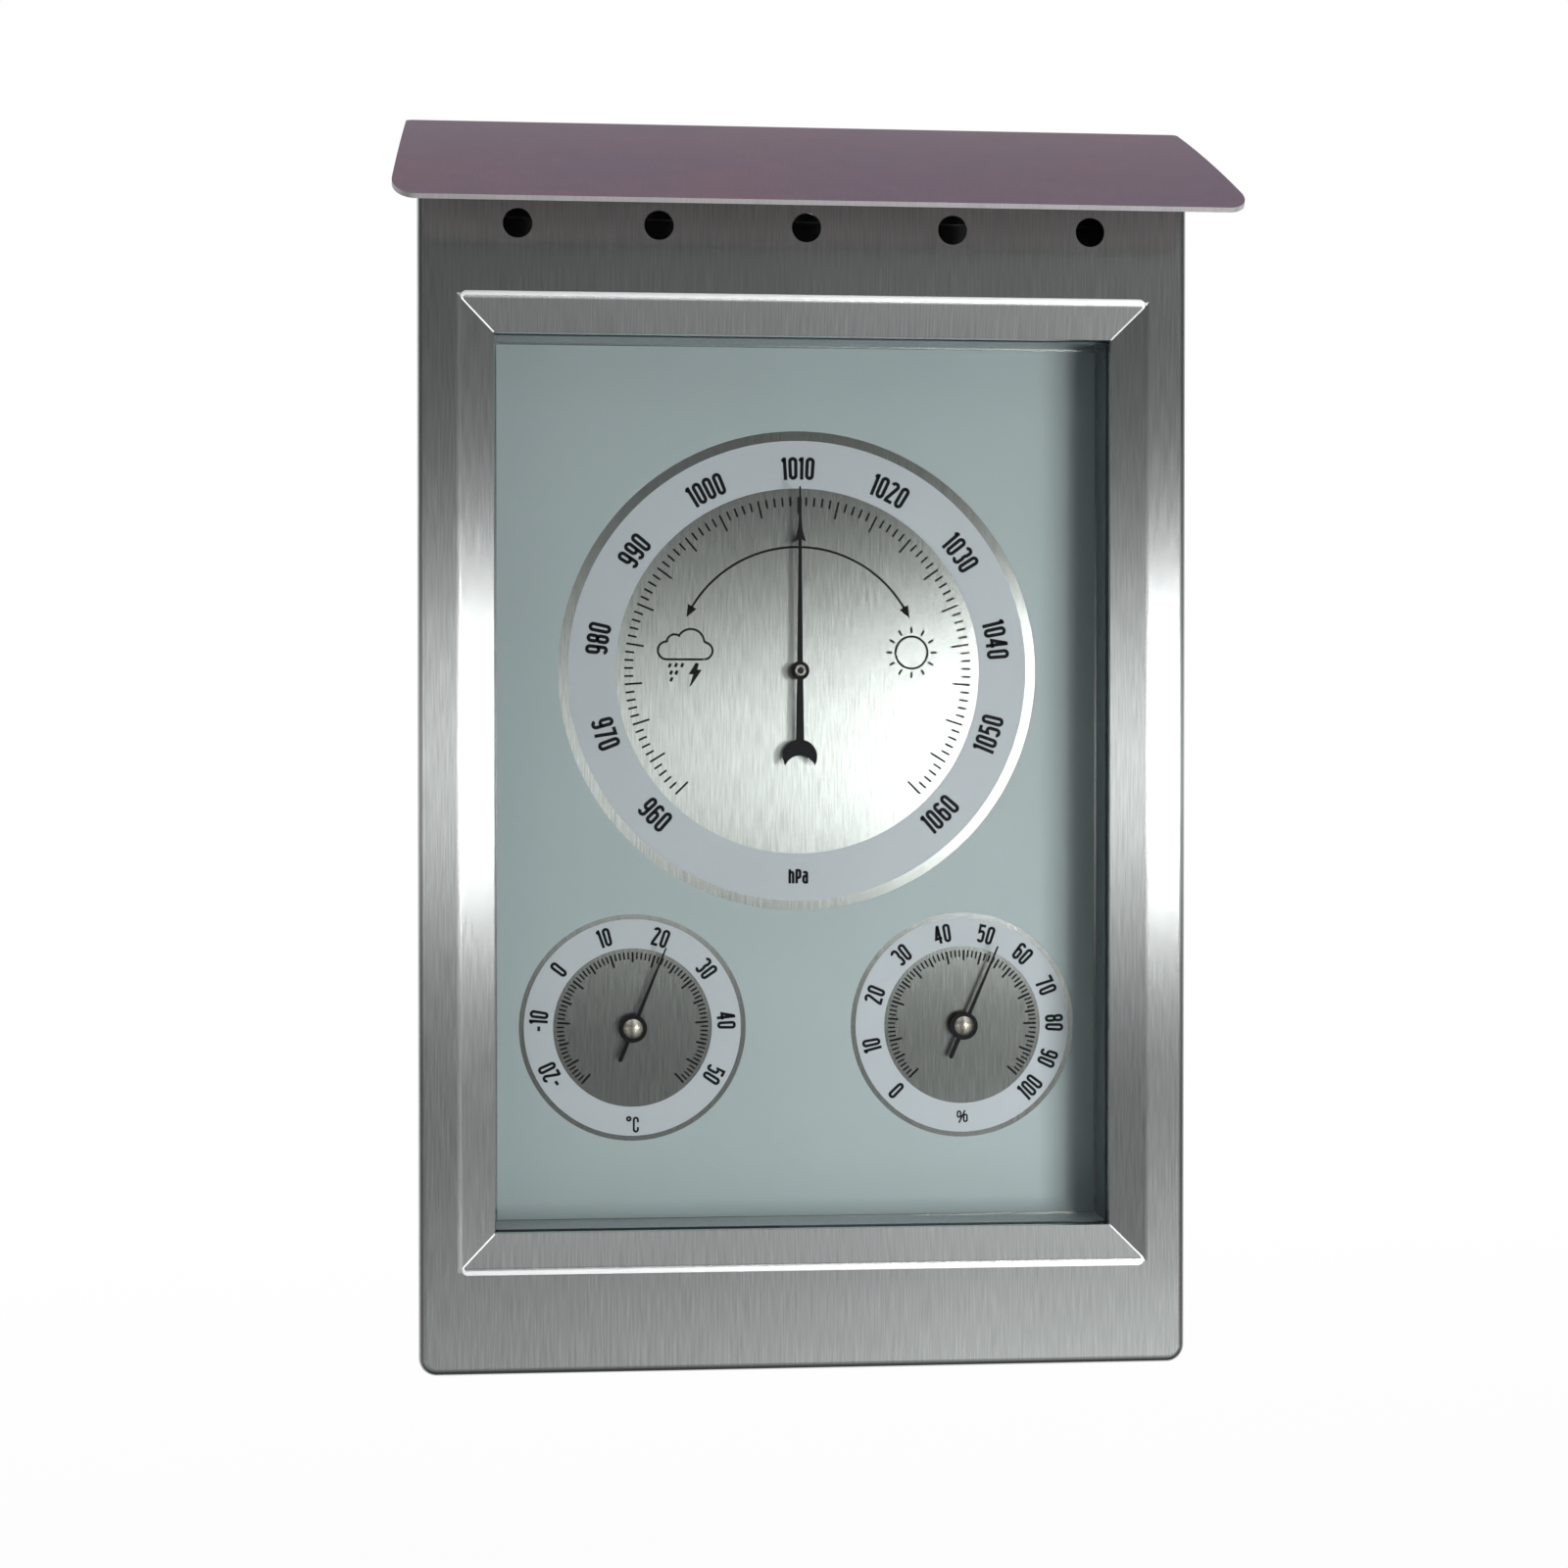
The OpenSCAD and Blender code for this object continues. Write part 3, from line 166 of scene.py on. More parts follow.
class Graph:
    """Adds and links the nodes of one material or world."""

    def __init__(self, tree):
        self.tree = tree
        tree.nodes.clear()

    def node(self, kind, inputs=None, **settings):
        made = self.tree.nodes.new(kind)
        for name, value in settings.items():
            setattr(made, name, value)
        for name, value in (inputs or {}).items():
            if isinstance(value, bpy.types.NodeSocket):
                self.tree.links.new(value, made.inputs[name])
            else:
                made.inputs[name].default_value = value
        return made

    def math(self, operation, a, b=0.0):
        return self.node("ShaderNodeMath", {0: a, 1: b}, operation=operation).outputs[0]

    def vector(self, operation, a, b):
        return self.node("ShaderNodeVectorMath", {0: a, 1: b}, operation=operation).outputs[0]

    def product(self, total, *factors):
        """Product of sockets and numbers."""
        for factor in factors:
            total = self.math("MULTIPLY", total, factor)
        return total

    def place(self):
        return self.node("ShaderNodeTexCoord").outputs["Object"]

    def normal(self):
        return self.node("ShaderNodeNewGeometry").outputs["Normal"]

    def parts(self, vector):
        """The x, y and z sockets of a vector."""
        return self.node("ShaderNodeSeparateXYZ", {0: vector}).outputs

    def noise(self, scale, detail=3.0, stretch=(1, 1, 1), place=None):
        """Noise with scale features a metre, drawn out along each axis by its stretch."""
        factors = tuple(scale / s for s in stretch)
        where = self.vector("MULTIPLY", place or self.place(), factors)
        return self.node("ShaderNodeTexNoise", {"Vector": where, "Scale": 1.0, "Detail": detail}).outputs[0]

    def spread(self, value, low, high, centre=0.5, reach=0.22):
        """Maps a value from centre +- reach onto low to high; most noise lies within the usual reach."""
        return self.node("ShaderNodeMapRange", {
            "Value": value, "From Min": centre - reach, "From Max": centre + reach,
            "To Min": low, "To Max": high}).outputs[0]

    def vary(self, value, share, middle=1.0):
        """Maps a noise value onto the middle, give or take a share of it."""
        return self.spread(value, middle * (1 - share), middle * (1 + share))

    def shade(self, colour, factor):
        """A colour or colour socket multiplied by a factor socket."""
        grey = self.node("ShaderNodeCombineXYZ", {0: factor, 1: factor, 2: factor}).outputs[0]
        return self.vector("MULTIPLY", colour, grey)

    def blend(self, factor, a, b):
        """Mix of two colours or colour sockets."""
        made = self.node("ShaderNodeMix", data_type="RGBA")
        for index, value in ((0, factor), (6, a), (7, b)):
            if isinstance(value, bpy.types.NodeSocket):
                self.tree.links.new(value, made.inputs[index])
            else:
                made.inputs[index].default_value = value if index == 0 else (*value, 1)
        return made.outputs[2]

    def bump(self, height, distance, strength):
        return self.node("ShaderNodeBump", {
            "Height": height, "Distance": distance, "Strength": strength}).outputs[0]

    def surface(self, shader):
        self.node("ShaderNodeOutputMaterial", {"Surface": shader})

    def principled(self, **inputs):
        """A Principled shader as the surface, its inputs named with underscores for spaces."""
        named = {name.replace("_", " "): value for name, value in inputs.items()}
        self.surface(self.node("ShaderNodeBsdfPrincipled", named).outputs[0])


def material(name):
    made = bpy.data.materials.new(name)
    made.use_nodes = True
    return made, Graph(made.node_tree)


def linear(red, green, blue):
    """An sRGB display colour from 0 to 255 as a linear one."""
    def channel(value):
        value /= 255
        return value / 12.92 if value <= 0.04045 else ((value + 0.055) / 1.055) ** 2.4
    return channel(red), channel(green), channel(blue)


# Materials, with noise scales in features a metre and bump distances in metres

def across_upright_grain(graph):
    """Level direction along a wall, which is where an upright grain spreads its highlights."""
    level = graph.vector("CROSS_PRODUCT", (0, 0, 1), graph.normal())
    never_zero = (0.001, 0, 0)
    return graph.vector("ADD", level, never_zero)


def upright_place(graph):
    """Place on a wall; depth counts only on the side walls, so that grain runs straight over slopes."""
    sideways = graph.math("ABSOLUTE", graph.parts(graph.normal())[0])
    side_wall = graph.spread(sideways, 0.0, 1.0, centre=0.7, reach=0.1)
    x, y, z = graph.parts(graph.place())
    across = graph.math("ADD", x, graph.product(y, side_wall))
    return graph.node("ShaderNodeCombineXYZ", {0: across, 2: z}).outputs[0]


def brushed_metal(name, colour, roughness=0.25, anisotropic=0.86, streak=0.13, length=30):
    """Metal with a fine straight grain, slightly uneven in tone."""
    made, graph = material(name)
    wall = upright_place(graph)
    along = (1, 1, length)
    fine = graph.noise(2600, detail=2.0, stretch=along, place=wall)
    broad = graph.noise(1500, detail=2.0, stretch=along, place=wall)
    clouds = graph.noise(14)
    tone = graph.product(graph.vary(fine, streak), graph.vary(broad, streak / 6), graph.vary(clouds, 0.05))
    graph.principled(
        Base_Color=graph.shade(colour, tone), Metallic=1.0,
        Roughness=graph.vary(broad, 0.01, roughness), Anisotropic=anisotropic,
        Tangent=across_upright_grain(graph), Normal=graph.bump(fine, distance=0.00001, strength=0.15))
    return made


def cast_metal(name, colour, roughness, tarnish_share=0.25):
    """Turned or rolled metal with fine machining marks and a little tarnish."""
    made, graph = material(name)
    marks = graph.noise(5200, stretch=(1, 1, 6))
    spots = graph.noise(320, detail=4.0)
    tarnish = tuple(channel * 0.55 for channel in colour)
    share = graph.spread(spots, 0.0, tarnish_share, centre=0.55, reach=0.2)
    graph.principled(
        Base_Color=graph.blend(share, colour, tarnish), Metallic=1.0,
        Roughness=graph.spread(marks, roughness * 0.8, roughness * 1.25),
        Normal=graph.bump(marks, distance=0.000008, strength=0.4))
    return made


def matt(name, colour, roughness, grain, unevenness=0.06, depth=0.00002, gloss=0.4):
    """Paint, enamel, rubber or plastic: an even colour with a fine tooth."""
    made, graph = material(name)
    tooth = graph.noise(grain, detail=4.0)
    clouds = graph.noise(22)
    tone = graph.product(graph.vary(tooth, unevenness / 2), graph.vary(clouds, unevenness / 2))
    graph.principled(
        Base_Color=graph.shade(colour, tone), Specular_IOR_Level=gloss,
        Roughness=graph.vary(tooth, 0.07, roughness),
        Normal=graph.bump(tooth, distance=depth, strength=0.5))
    return made


def facing(graph, way):
    """One on faces that look up (way of 1) or down (way of -1), zero on all others."""
    upwards = graph.product(graph.parts(graph.normal())[2], way)
    return graph.spread(upwards, 0.0, 1.0, centre=0.6, reach=0.1)


def roof_metal(name, mauve, lilac, edge, shaded_underside):
    """Brushed steel: patches of two tints on its weather side, bare on its edges, and a darker bare tone
    underneath that is painted shade.
    """
    made, graph = material(name)
    fine = graph.noise(4200, detail=4.0, stretch=(1, 30, 30))
    patches = graph.noise(26)
    mottles = graph.noise(110, detail=5.0)
    tone = graph.product(graph.vary(fine, 0.09), graph.vary(mottles, 0.04))
    tint = graph.blend(graph.spread(patches, 0.0, 1.0), mauve, lilac)
    # Painted shade: faces that look down take the darker underside colour
    edge_and_painted_shade = graph.blend(facing(graph, -1.0), edge, shaded_underside)
    colour = graph.blend(facing(graph, 1.0), edge_and_painted_shade, tint)
    graph.principled(
        Base_Color=graph.shade(colour, tone), Metallic=0.6,
        Roughness=graph.spread(fine, 0.42, 0.48), Anisotropic=0.5,
        Tangent=across_upright_grain(graph), Normal=graph.bump(fine, distance=0.00001, strength=0.35))
    return made


def dusty_gloss(name, colour, dust_and_painted_light):
    """Dark glossy plastic whose ledge that looks up is painted paler, as painted light from above, mottled by
    noise.
    """
    made, graph = material(name)
    tooth = graph.noise(3000, detail=4.0)
    # Painted light: faces that look up get the paler colour, as if lit from above
    painted_ledge_light = graph.product(facing(graph, 1.0), graph.spread(graph.noise(500), 0.8, 1.0))
    graph.principled(
        Base_Color=graph.blend(painted_ledge_light, colour, dust_and_painted_light), Specular_IOR_Level=0.9,
        Roughness=graph.spread(tooth, 0.16, 0.22),
        Normal=graph.bump(tooth, distance=0.000004, strength=0.5))
    return made


def bright_edge(name, colour):
    """Near-white, rough steel colour that scatters light almost white, as a painted highlight of a bend."""
    made, graph = material(name)
    highlight_tone_noise = graph.noise(1500, stretch=(8, 1, 1))
    graph.principled(
        Base_Color=graph.shade(colour, graph.spread(highlight_tone_noise, 0.93, 1.0)), Metallic=0.3,
        Roughness=graph.spread(highlight_tone_noise, 0.36, 0.44),
        Normal=graph.bump(highlight_tone_noise, distance=0.00001, strength=0.4))
    return made


def window_glass(name, tint):
    """Clear sheet that lets light through and reflects a little, with a trace of dust."""
    made, graph = material(name)
    clear = graph.node("ShaderNodeBsdfTransparent", {"Color": (*tint, 1)}).outputs[0]
    dust_and_painted_light = graph.noise(900, detail=4.0)
    gloss = graph.node("ShaderNodeBsdfGlossy", {
        "Color": (1, 1, 1, 1), "Roughness": graph.spread(dust_and_painted_light, 0.02, 0.05)}).outputs[0]
    glint = graph.node("ShaderNodeFresnel", {"IOR": 1.1}).outputs[0]
    graph.surface(graph.node("ShaderNodeMixShader", {0: glint, 1: clear, 2: gloss}).outputs[0])
    return made


MATERIALS = {
    "casing_steel": brushed_metal("casing_steel", linear(205, 208, 207)),
    "back_steel": brushed_metal("back_steel", linear(190, 192, 192), roughness=0.42, anisotropic=0.8,
                                streak=0.08),
    "dial_metal": brushed_metal("dial_metal", linear(222, 226, 222), roughness=0.172, anisotropic=0.8,
                                streak=0.15, length=20),
    # The darker underside colour is painted shade under the roof
    "roof_steel": roof_metal("roof_steel", mauve=linear(190, 156, 176), lilac=linear(180, 156, 181),
                             edge=linear(186, 184, 186), shaded_underside=linear(176, 168, 168)),
    # Near white: painted highlight on the border's folds and mitres
    "bead_painted_highlight": bright_edge("bead_painted_highlight", linear(244, 246, 246)),
    "window_glass": window_glass("window_glass", tint=(0.985, 0.99, 0.988)),
    # The spacer's up-facing ledge gets a paler colour here: painted light from above
    "spacer_black": dusty_gloss("spacer_black", linear(98, 107, 112), dust_and_painted_light=linear(164, 172, 176)),
    "fastener_steel": cast_metal("fastener_steel", linear(196, 198, 200), roughness=0.28),
    "hub_metal": cast_metal("hub_metal", linear(214, 207, 194), roughness=0.27, tarnish_share=0.1),
    "movement_brass": cast_metal("movement_brass", linear(205, 170, 98), roughness=0.26),
    "movement_steel": cast_metal("movement_steel", linear(178, 180, 184), roughness=0.3),
    "spring_steel": cast_metal("spring_steel", linear(58, 60, 66), roughness=0.3),
    "capsule_copper": cast_metal("capsule_copper", linear(214, 156, 104), roughness=0.3),
    "bimetal": cast_metal("bimetal", linear(188, 160, 130), roughness=0.32),
    "hygro_strip": cast_metal("hygro_strip", linear(206, 190, 150), roughness=0.4),
    "gasket_rubber": matt("gasket_rubber", linear(30, 31, 32), roughness=0.75, grain=2600),
    "enamel_blue": matt("enamel_blue", linear(143, 154, 155), roughness=0.6, grain=2400, unevenness=0.05),
    "band_enamel": matt("band_enamel", linear(157, 163, 167), roughness=0.6, grain=2400, unevenness=0.05),
    "pointer_black": matt("pointer_black", linear(14, 14, 17), roughness=0.5, grain=3600,
                          unevenness=0.08, depth=0.00001, gloss=0.2),
    "print_black": matt("print_black", linear(15, 16, 18), roughness=0.6, grain=3800,
                        unevenness=0.1, depth=0.000005, gloss=0.15),
}


def finish_nodes():
    """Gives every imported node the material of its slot."""
    slots = {n["node"]: n["material_slot"] for n in frame["record"]["subparts"]}
    for name, node in frame["nodes"].items():
        node.data.materials.clear()
        node.data.materials.append(MATERIALS[slots[name]])


# Printed marks: strokes laid flat on the dial and given a thickness

# Cosine of half a corner's turn under which its mitre grows no longer
MITRE_LIMIT = 0.6


def arc(x, z, radius, start, end, steps=10):
    """Points from one angle to another, counter-clockwise from the right."""
    angles = [math.radians(start + (end - start) * i / steps) for i in range(steps + 1)]
    return [(x + radius * math.cos(a), z + radius * math.sin(a)) for a in angles]


def upright(point):
    return point


def on_dial(angle, radius, feet=-1):
    """Places a mark round a dial by its clockwise angle from the top; feet of 1 stand on the outside."""
    def place(point):
        turned = math.radians(angle) - feet * point[0] / radius
        reach = radius - feet * point[1]
        return reach * math.sin(turned), reach * math.cos(turned)
    return place


class Print:
    """Collects strokes and filled outlines round one centre, and makes one thin piece of them."""

    def __init__(self, centre):
        self.centre = centre
        self.faces = []

    def stroke(self, points, width, place=upright, closed=False):
        points = [Vector(place(p)) for p in points]
        count = len(points)
        edges = []
        for i, point in enumerate(points):
            before = points[(i - 1) % count] if closed or i > 0 else None
            after = points[(i + 1) % count] if closed or i < count - 1 else None
            ways = [(point - before).normalized()] if before is not None else []
            ways += [(after - point).normalized()] if after is not None else []
            way = sum(ways, Vector((0, 0))).normalized()
            across = Vector((-way.y, way.x))
            lean = max(abs(across.dot(Vector((-ways[0].y, ways[0].x)))), MITRE_LIMIT)
            edges.append((point + across * width / 2 / lean, point - across * width / 2 / lean))
        for i in range(count if closed else count - 1):
            (a, b), (c, d) = edges[i], edges[(i + 1) % count]
            self.faces.append([a, c, d, b])

    def fill(self, points, place=upright):
        self.faces.append([Vector(place(p)) for p in points])

    def make(self, name, front):
        """One piece of all the faces, raised from their ground by the print's rise."""
        mesh = bmesh.new()
        x, z = self.centre
        for face in self.faces:
            corners = [mesh.verts.new(((x + p.x) * MM, front * MM, (z + p.y) * MM)) for p in face]
            mesh.faces.new(corners)
        bmesh.ops.remove_doubles(mesh, verts=mesh.verts, dist=PRINT_WELD * MM)
        bmesh.ops.recalc_face_normals(mesh, faces=mesh.faces)
        for face in mesh.faces:
            if face.normal.y > 0:
                face.normal_flip()
        raised = bmesh.ops.extrude_face_region(mesh, geom=list(mesh.faces))
        lifted = [v for v in raised["geom"] if isinstance(v, bmesh.types.BMVert)]
        bmesh.ops.translate(mesh, verts=lifted, vec=(0, -PRINT_RISE * MM, 0))
        bmesh.ops.recalc_face_normals(mesh, faces=mesh.faces)
        piece(name, mesh, "print_black")


def piece(name, mesh, finish, body="root"):
    """Turns a bmesh into a named piece that rides on a body."""
    data = bpy.data.meshes.new(name)
    mesh.to_mesh(data)
    mesh.free()
    made = bpy.data.objects.new(name, data)
    bpy.context.scene.collection.objects.link(made)
    data.materials.append(MATERIALS[finish])
    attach(made, body)


# Glyphs are the centre lines of their strokes in one cell, each with a closed flag. Bowls reach HALF_W
# and HALF_H from the middle, straight strokes reach END, and the stems of letters stand at STEM
CELL_H = 6.3
HALF_W = 0.8
HALF_H = 2.7
END = 3.15
BOWL = HALF_H - HALF_W
MID = 0.15
STEM = 0.75
SMALL_TOP = 1.1


def loop(top, bottom, radius=HALF_W):
    """Upright rounded loop between two heights."""
    return arc(0, top - radius, radius, 0, 180) + arc(0, bottom + radius, radius, 180, 360)


def aside(points, reach):
    """The same points moved sideways."""
    return [(x + reach, z) for x, z in points]


SIX = [
    (loop(0.6, -HALF_H), True),
    ([(-HALF_W, -0.2)] + arc(0, BOWL, HALF_W, 180, 8), False),
]
GLYPHS = {
    "0": [(loop(HALF_H, -HALF_H), True)],
    "1": [([(0.12, -END), (0.12, END)], False), ([(-0.6, 2.0), (-0.28, 2.3), (-0.1, 2.8)], False)],
    "2": [(arc(0, BOWL, HALF_W, 175, -20) + [(-HALF_W, -2.2), (-HALF_W, -HALF_H), (1.15, -HALF_H)], False)],
    "3": [(arc(0, BOWL, HALF_W, 172, 0) + arc(0, 1.0, HALF_W, 0, -78, 6), False),
          (arc(0, -0.7, HALF_W, 78, 0, 6) + arc(0, -BOWL, HALF_W, 0, -172), False)],
    "4": [([(0.45, -END), (0.45, END)], False), ([(0.3, 2.7), (-0.95, -1.3), (1.2, -1.3)], False)],
    "5": [([(1.0, HALF_H), (-0.7, HALF_H), (-0.78, 0.35)] + arc(0, -0.05, HALF_W, 140, 0)
           + arc(0, -BOWL, HALF_W, 0, -172), False)],
    "6": SIX,
    "7": [([(-1.15, HALF_H), (0.75, HALF_H), (-0.2, -END)], False)],
    "8": [(loop(HALF_H, MID, 0.74), True), (loop(MID, -HALF_H), True)],
    "9": [([(-x, -z) for x, z in points], closed) for points, closed in SIX],
    "-": [([(-0.8, -0.2), (0.8, -0.2)], False)],
    "h": [([(-STEM, -END), (-STEM, END)], False), (arc(0, SMALL_TOP, STEM, 165, 0) + [(STEM, -END)], False)],
    "P": [([(-STEM, -END), (-STEM, END)], False),
          ([(-STEM, HALF_H), (0, HALF_H)] + arc(0, BOWL, HALF_W, 90, 0) + arc(0, 0.2, HALF_W, 0, -90)
           + [(-STEM, 0.2 - HALF_W)], False)],
    "a": [(arc(0, SMALL_TOP, STEM, 160, 0) + [(STEM, -END)], False),
          ([(STEM, 0.15), (0, 0.15)] + arc(0, 0.15 - STEM, STEM, 90, 180)
           + arc(0, STEM - HALF_H, STEM, 180, 270) + [(STEM, -HALF_H)], False)],
    "C": [([(HALF_W, 0.95)] + arc(0, BOWL, HALF_W, 0, 180) + arc(0, -BOWL, HALF_W, 180, 360)
           + [(HALF_W, -0.95)], False)],
    "o": [(arc(0, 2.3, 0.7, 0, 330), True)],
    "%": [(aside(loop(2.1, -0.2, 0.62), -1.25), True), (aside(loop(0.8, -1.95, 0.66), 1.3), True),
          ([(1.15, 2.5), (-1.3, -2.5)], False)],
}

# Widths of the glyphs that aren't GLYPH_W wide, and the gap between any two
WIDTHS = {"1": 1.15, "%": 3.9, "o": 1.9, "4": 2.7}
GLYPH_W = 2.5
GLYPH_GAP = 0.55


def write(sheet, text, height, stroke, place):
    """Lays a word out round the middle of its place."""
    size = height / CELL_H
    widths = [WIDTHS.get(letter, GLYPH_W) for letter in text]
    pen = -(sum(widths) + GLYPH_GAP * (len(text) - 1)) / 2
    for letter, width in zip(text, widths):
        middle = pen + width / 2
        for points, closed in GLYPHS[letter]:
            placed = [((middle + x) * size, z * size) for x, z in points]
            sheet.stroke(placed, stroke, place, closed)
        pen += width + GLYPH_GAP


def tick(sheet, angle, outer, inner, width):
    """One straight mark that points to the dial's middle."""
    middle = (outer + inner) / 2
    half = (outer - inner) / 2
    sheet.stroke([(0, -half), (0, half)], width, on_dial(angle, middle))


def barometer_scale():
    ticks, labels = Print(BAROMETER), Print(BAROMETER)
    for value in range(BARO_LOW, BARO_HIGH + 1):
        angle = (value - BARO_TOP) * BARO_STEP
        length = BARO_TICK_LONG if value % 5 == 0 else BARO_TICK_SHORT
        tick(ticks, angle, BARO_TICK_OUT, BARO_TICK_OUT - length, BARO_TICK_STROKE)
        if value % 10 == 0:
            feet = 1 if abs(angle) > BARO_FLIP else -1
            write(labels, str(value), BARO_LABEL_H, BARO_STROKE, on_dial(angle, BARO_LABEL_R, feet))
    ticks.make("barometer_ticks", PLATE_FRONT)
    labels.make("barometer_numerals", ENAMEL_FRONT)
    unit = Print(BAROMETER)
    write(unit, "hPa", BARO_UNIT_H, BARO_UNIT_STROKE, lambda p: (p[0], p[1] - BARO_UNIT_DROP))
    unit.make("barometer_unit", ENAMEL_FRONT)


def small_scale(name, centre, ticks, labels, unit, unit_stroke, unit_drop):
    """Ticks as (angle, inner radius), labels as (angle, text)."""
    marks, numerals = Print(centre), Print(centre)
    for angle, inner in ticks:
        stroke = SMALL_TICK_BOLD if inner < SMALL_TICK_SHORT else SMALL_TICK_STROKE
        tick(marks, angle, SMALL_TICK_OUT, inner, stroke)
    for angle, text in labels:
        feet = 1 if abs(angle) > SMALL_FLIP else -1
        write(numerals, text, SMALL_LABEL_H, SMALL_STROKE, on_dial(angle, SMALL_LABEL_R, feet))
    write(numerals, unit, SMALL_UNIT_H, unit_stroke, lambda p: (p[0], p[1] - unit_drop))
    marks.make(name + "_ticks", PLATE_FRONT)
    numerals.make(name + "_numerals", ENAMEL_FRONT)


def thermometer_scale():
    def angle(value):
        return (value - THERMO_TOP) * THERMO_STEP
    ticks = []
    for value in range(THERMO_LOW, THERMO_HIGH + 1):
        inner = SMALL_TICK_MIDDLE if value % 5 == 0 else SMALL_TICK_SHORT
        if value % 10 == 0 or value in (THERMO_LOW, THERMO_HIGH):
            inner = SMALL_TICK_LONG
        ticks.append((angle(value), inner))
    labels = [(angle(value), str(value)) for value in THERMO_LABELS]
    small_scale("thermometer", THERMOMETER, ticks, labels, "oC", THERMO_UNIT_STROKE, THERMO_UNIT_DROP)


def hygrometer_scale():
    """Long marks at the tens, and between them as many short ones as fit at an even pitch."""
    def angle(value):
        return HYGRO_START + HYGRO_STEP * value - HYGRO_CLOSING * value ** 2
    ticks = [(angle(HYGRO_TENS[0]), SMALL_TICK_LONG)]
    for ten, next_ten in zip(HYGRO_TENS, HYGRO_TENS[1:]):
        start, end = angle(ten), angle(next_ten)
        parts = round((end - start) / HYGRO_PITCH)
        for part in range(1, parts):
            inner = SMALL_TICK_MIDDLE if part == (parts + 1) // 2 else SMALL_TICK_SHORT
            ticks.append((start + (end - start) * part / parts, inner))
        ticks.append((end, SMALL_TICK_LONG))
    labels = [(angle(ten), str(ten)) for ten in HYGRO_TENS]
    small_scale("hygrometer", HYGROMETER, ticks, labels, "%", HYGRO_UNIT_STROKE, HYGRO_UNIT_DROP)


def weather_symbols():
    """Sun, storm cloud and the double arrow between them."""
    sun = Print(BAROMETER)
    rim = arc(*SUN_AT, SUN_R, 0, 360 - 360 / SUN_CORNERS, SUN_CORNERS - 1)
    sun.stroke(rim, SYMBOL_STROKE, closed=True)
    for turn in SUN_RAY_TURNS:
        way = math.radians(turn)
        ray = [(SUN_AT[0] + r * math.cos(way), SUN_AT[1] + r * math.sin(way)) for r in SUN_RAY]
        sun.stroke(ray, SYMBOL_STROKE)
    sun.make("sun_symbol", PLATE_FRONT)

    cloud = Print(BAROMETER)
    outline = [CLOUD_START]
    for puff in CLOUD_PUFFS:
        outline += arc(*puff)
    cloud.stroke(outline, SYMBOL_STROKE)
    for x, z in DROPS:
        drop = [(x - DROP_HALF_W, z - DROP_HALF_H), (x + DROP_HALF_W, z + DROP_HALF_H)]
        cloud.stroke(drop, DROP_STROKE)
    cloud.fill(BOLT)
    cloud.make("storm_symbol", PLATE_FRONT)

    arrow = Print(BAROMETER)
    arrow.stroke([on_dial(angle, ARROW_R)((0, 0)) for angle in ARROW_SHAFT], SYMBOL_STROKE)
    for side in (-1, 1):
        barb = -side * ARROW_BARB
        head = [(side * ARROW_POINT, 0), (barb, ARROW_HALF_W), (barb, -ARROW_HALF_W)]
        arrow.fill(head, on_dial(side * ARROW_HEAD, ARROW_R))
    arrow.make("trend_arrow", PLATE_FRONT)


# Near-white beads along the folds and mitres of the border, as painted highlights of the bends

def border_depth(inwards):
    """Depth of the border behind the face, this far in from its outer edge."""
    if inwards <= 0:
        return 0
    if inwards <= FOLD_RUN:
        return FOLD_R - math.sqrt(FOLD_R ** 2 - inwards ** 2)
    return FOLD_RISE + (inwards - FOLD_RUN) * BORDER_SLOPE


def half_bead(middle):
    """Centre line from a window corner to the middle of a fold.

    Each point is its distance in from the side, its distance in from the fold, and the fold's share.
    """
    leave = HOOK_R * (1 + math.sqrt(0.5))
    turn = HOOK_R * (1 + math.sqrt(2))
    points = []
    for i in range(MITRE_STEPS):
        inwards = BORDER_W + (leave - BORDER_W) * i / MITRE_STEPS
        points.append((inwards, inwards, 0))
    for i in range(HOOK_STEPS + 1):
        angle = math.radians(HOOK_TURN + HOOK_TURN * i / HOOK_STEPS)
        points.append((turn + HOOK_R * math.cos(angle), HOOK_R + HOOK_R * math.sin(angle), i / HOOK_STEPS))
    points += [(turn + (middle - turn) * i / FOLD_STEPS, 0, 1) for i in range(1, FOLD_STEPS)]
    return points


def bead_section(spot, across, width, depth_at):
    """Corners of a bead's section as (x, depth, z): its arched front, and its root in the metal."""
    ring = []
    for t in BEAD_SAMPLES:
        corner = spot + across * t * width / 2
        arch = BEAD_SINK * t * t - BEAD_RISE * (1 - t * t)
        ring.append((corner.x, depth_at(corner) + arch, corner.y))
    return ring + [(ring[end][0], ring[end][1] + BEAD_ROOT, ring[end][2]) for end in (-1, 0)]


def tube(rings):
    """Smooth closed mesh over a row of rings of points."""
    mesh = bmesh.new()
    rings = [[mesh.verts.new(point) for point in ring] for ring in rings]
    for a, b in zip(rings, rings[1:]):
        for k in range(len(a)):
            after = (k + 1) % len(a)
            mesh.faces.new([a[k], a[after], b[after], b[k]])
    mesh.faces.new(rings[0])
    mesh.faces.new(list(reversed(rings[-1])))
    bmesh.ops.recalc_face_normals(mesh, faces=mesh.faces)
    for side in mesh.faces:
        side.smooth = True
    return mesh


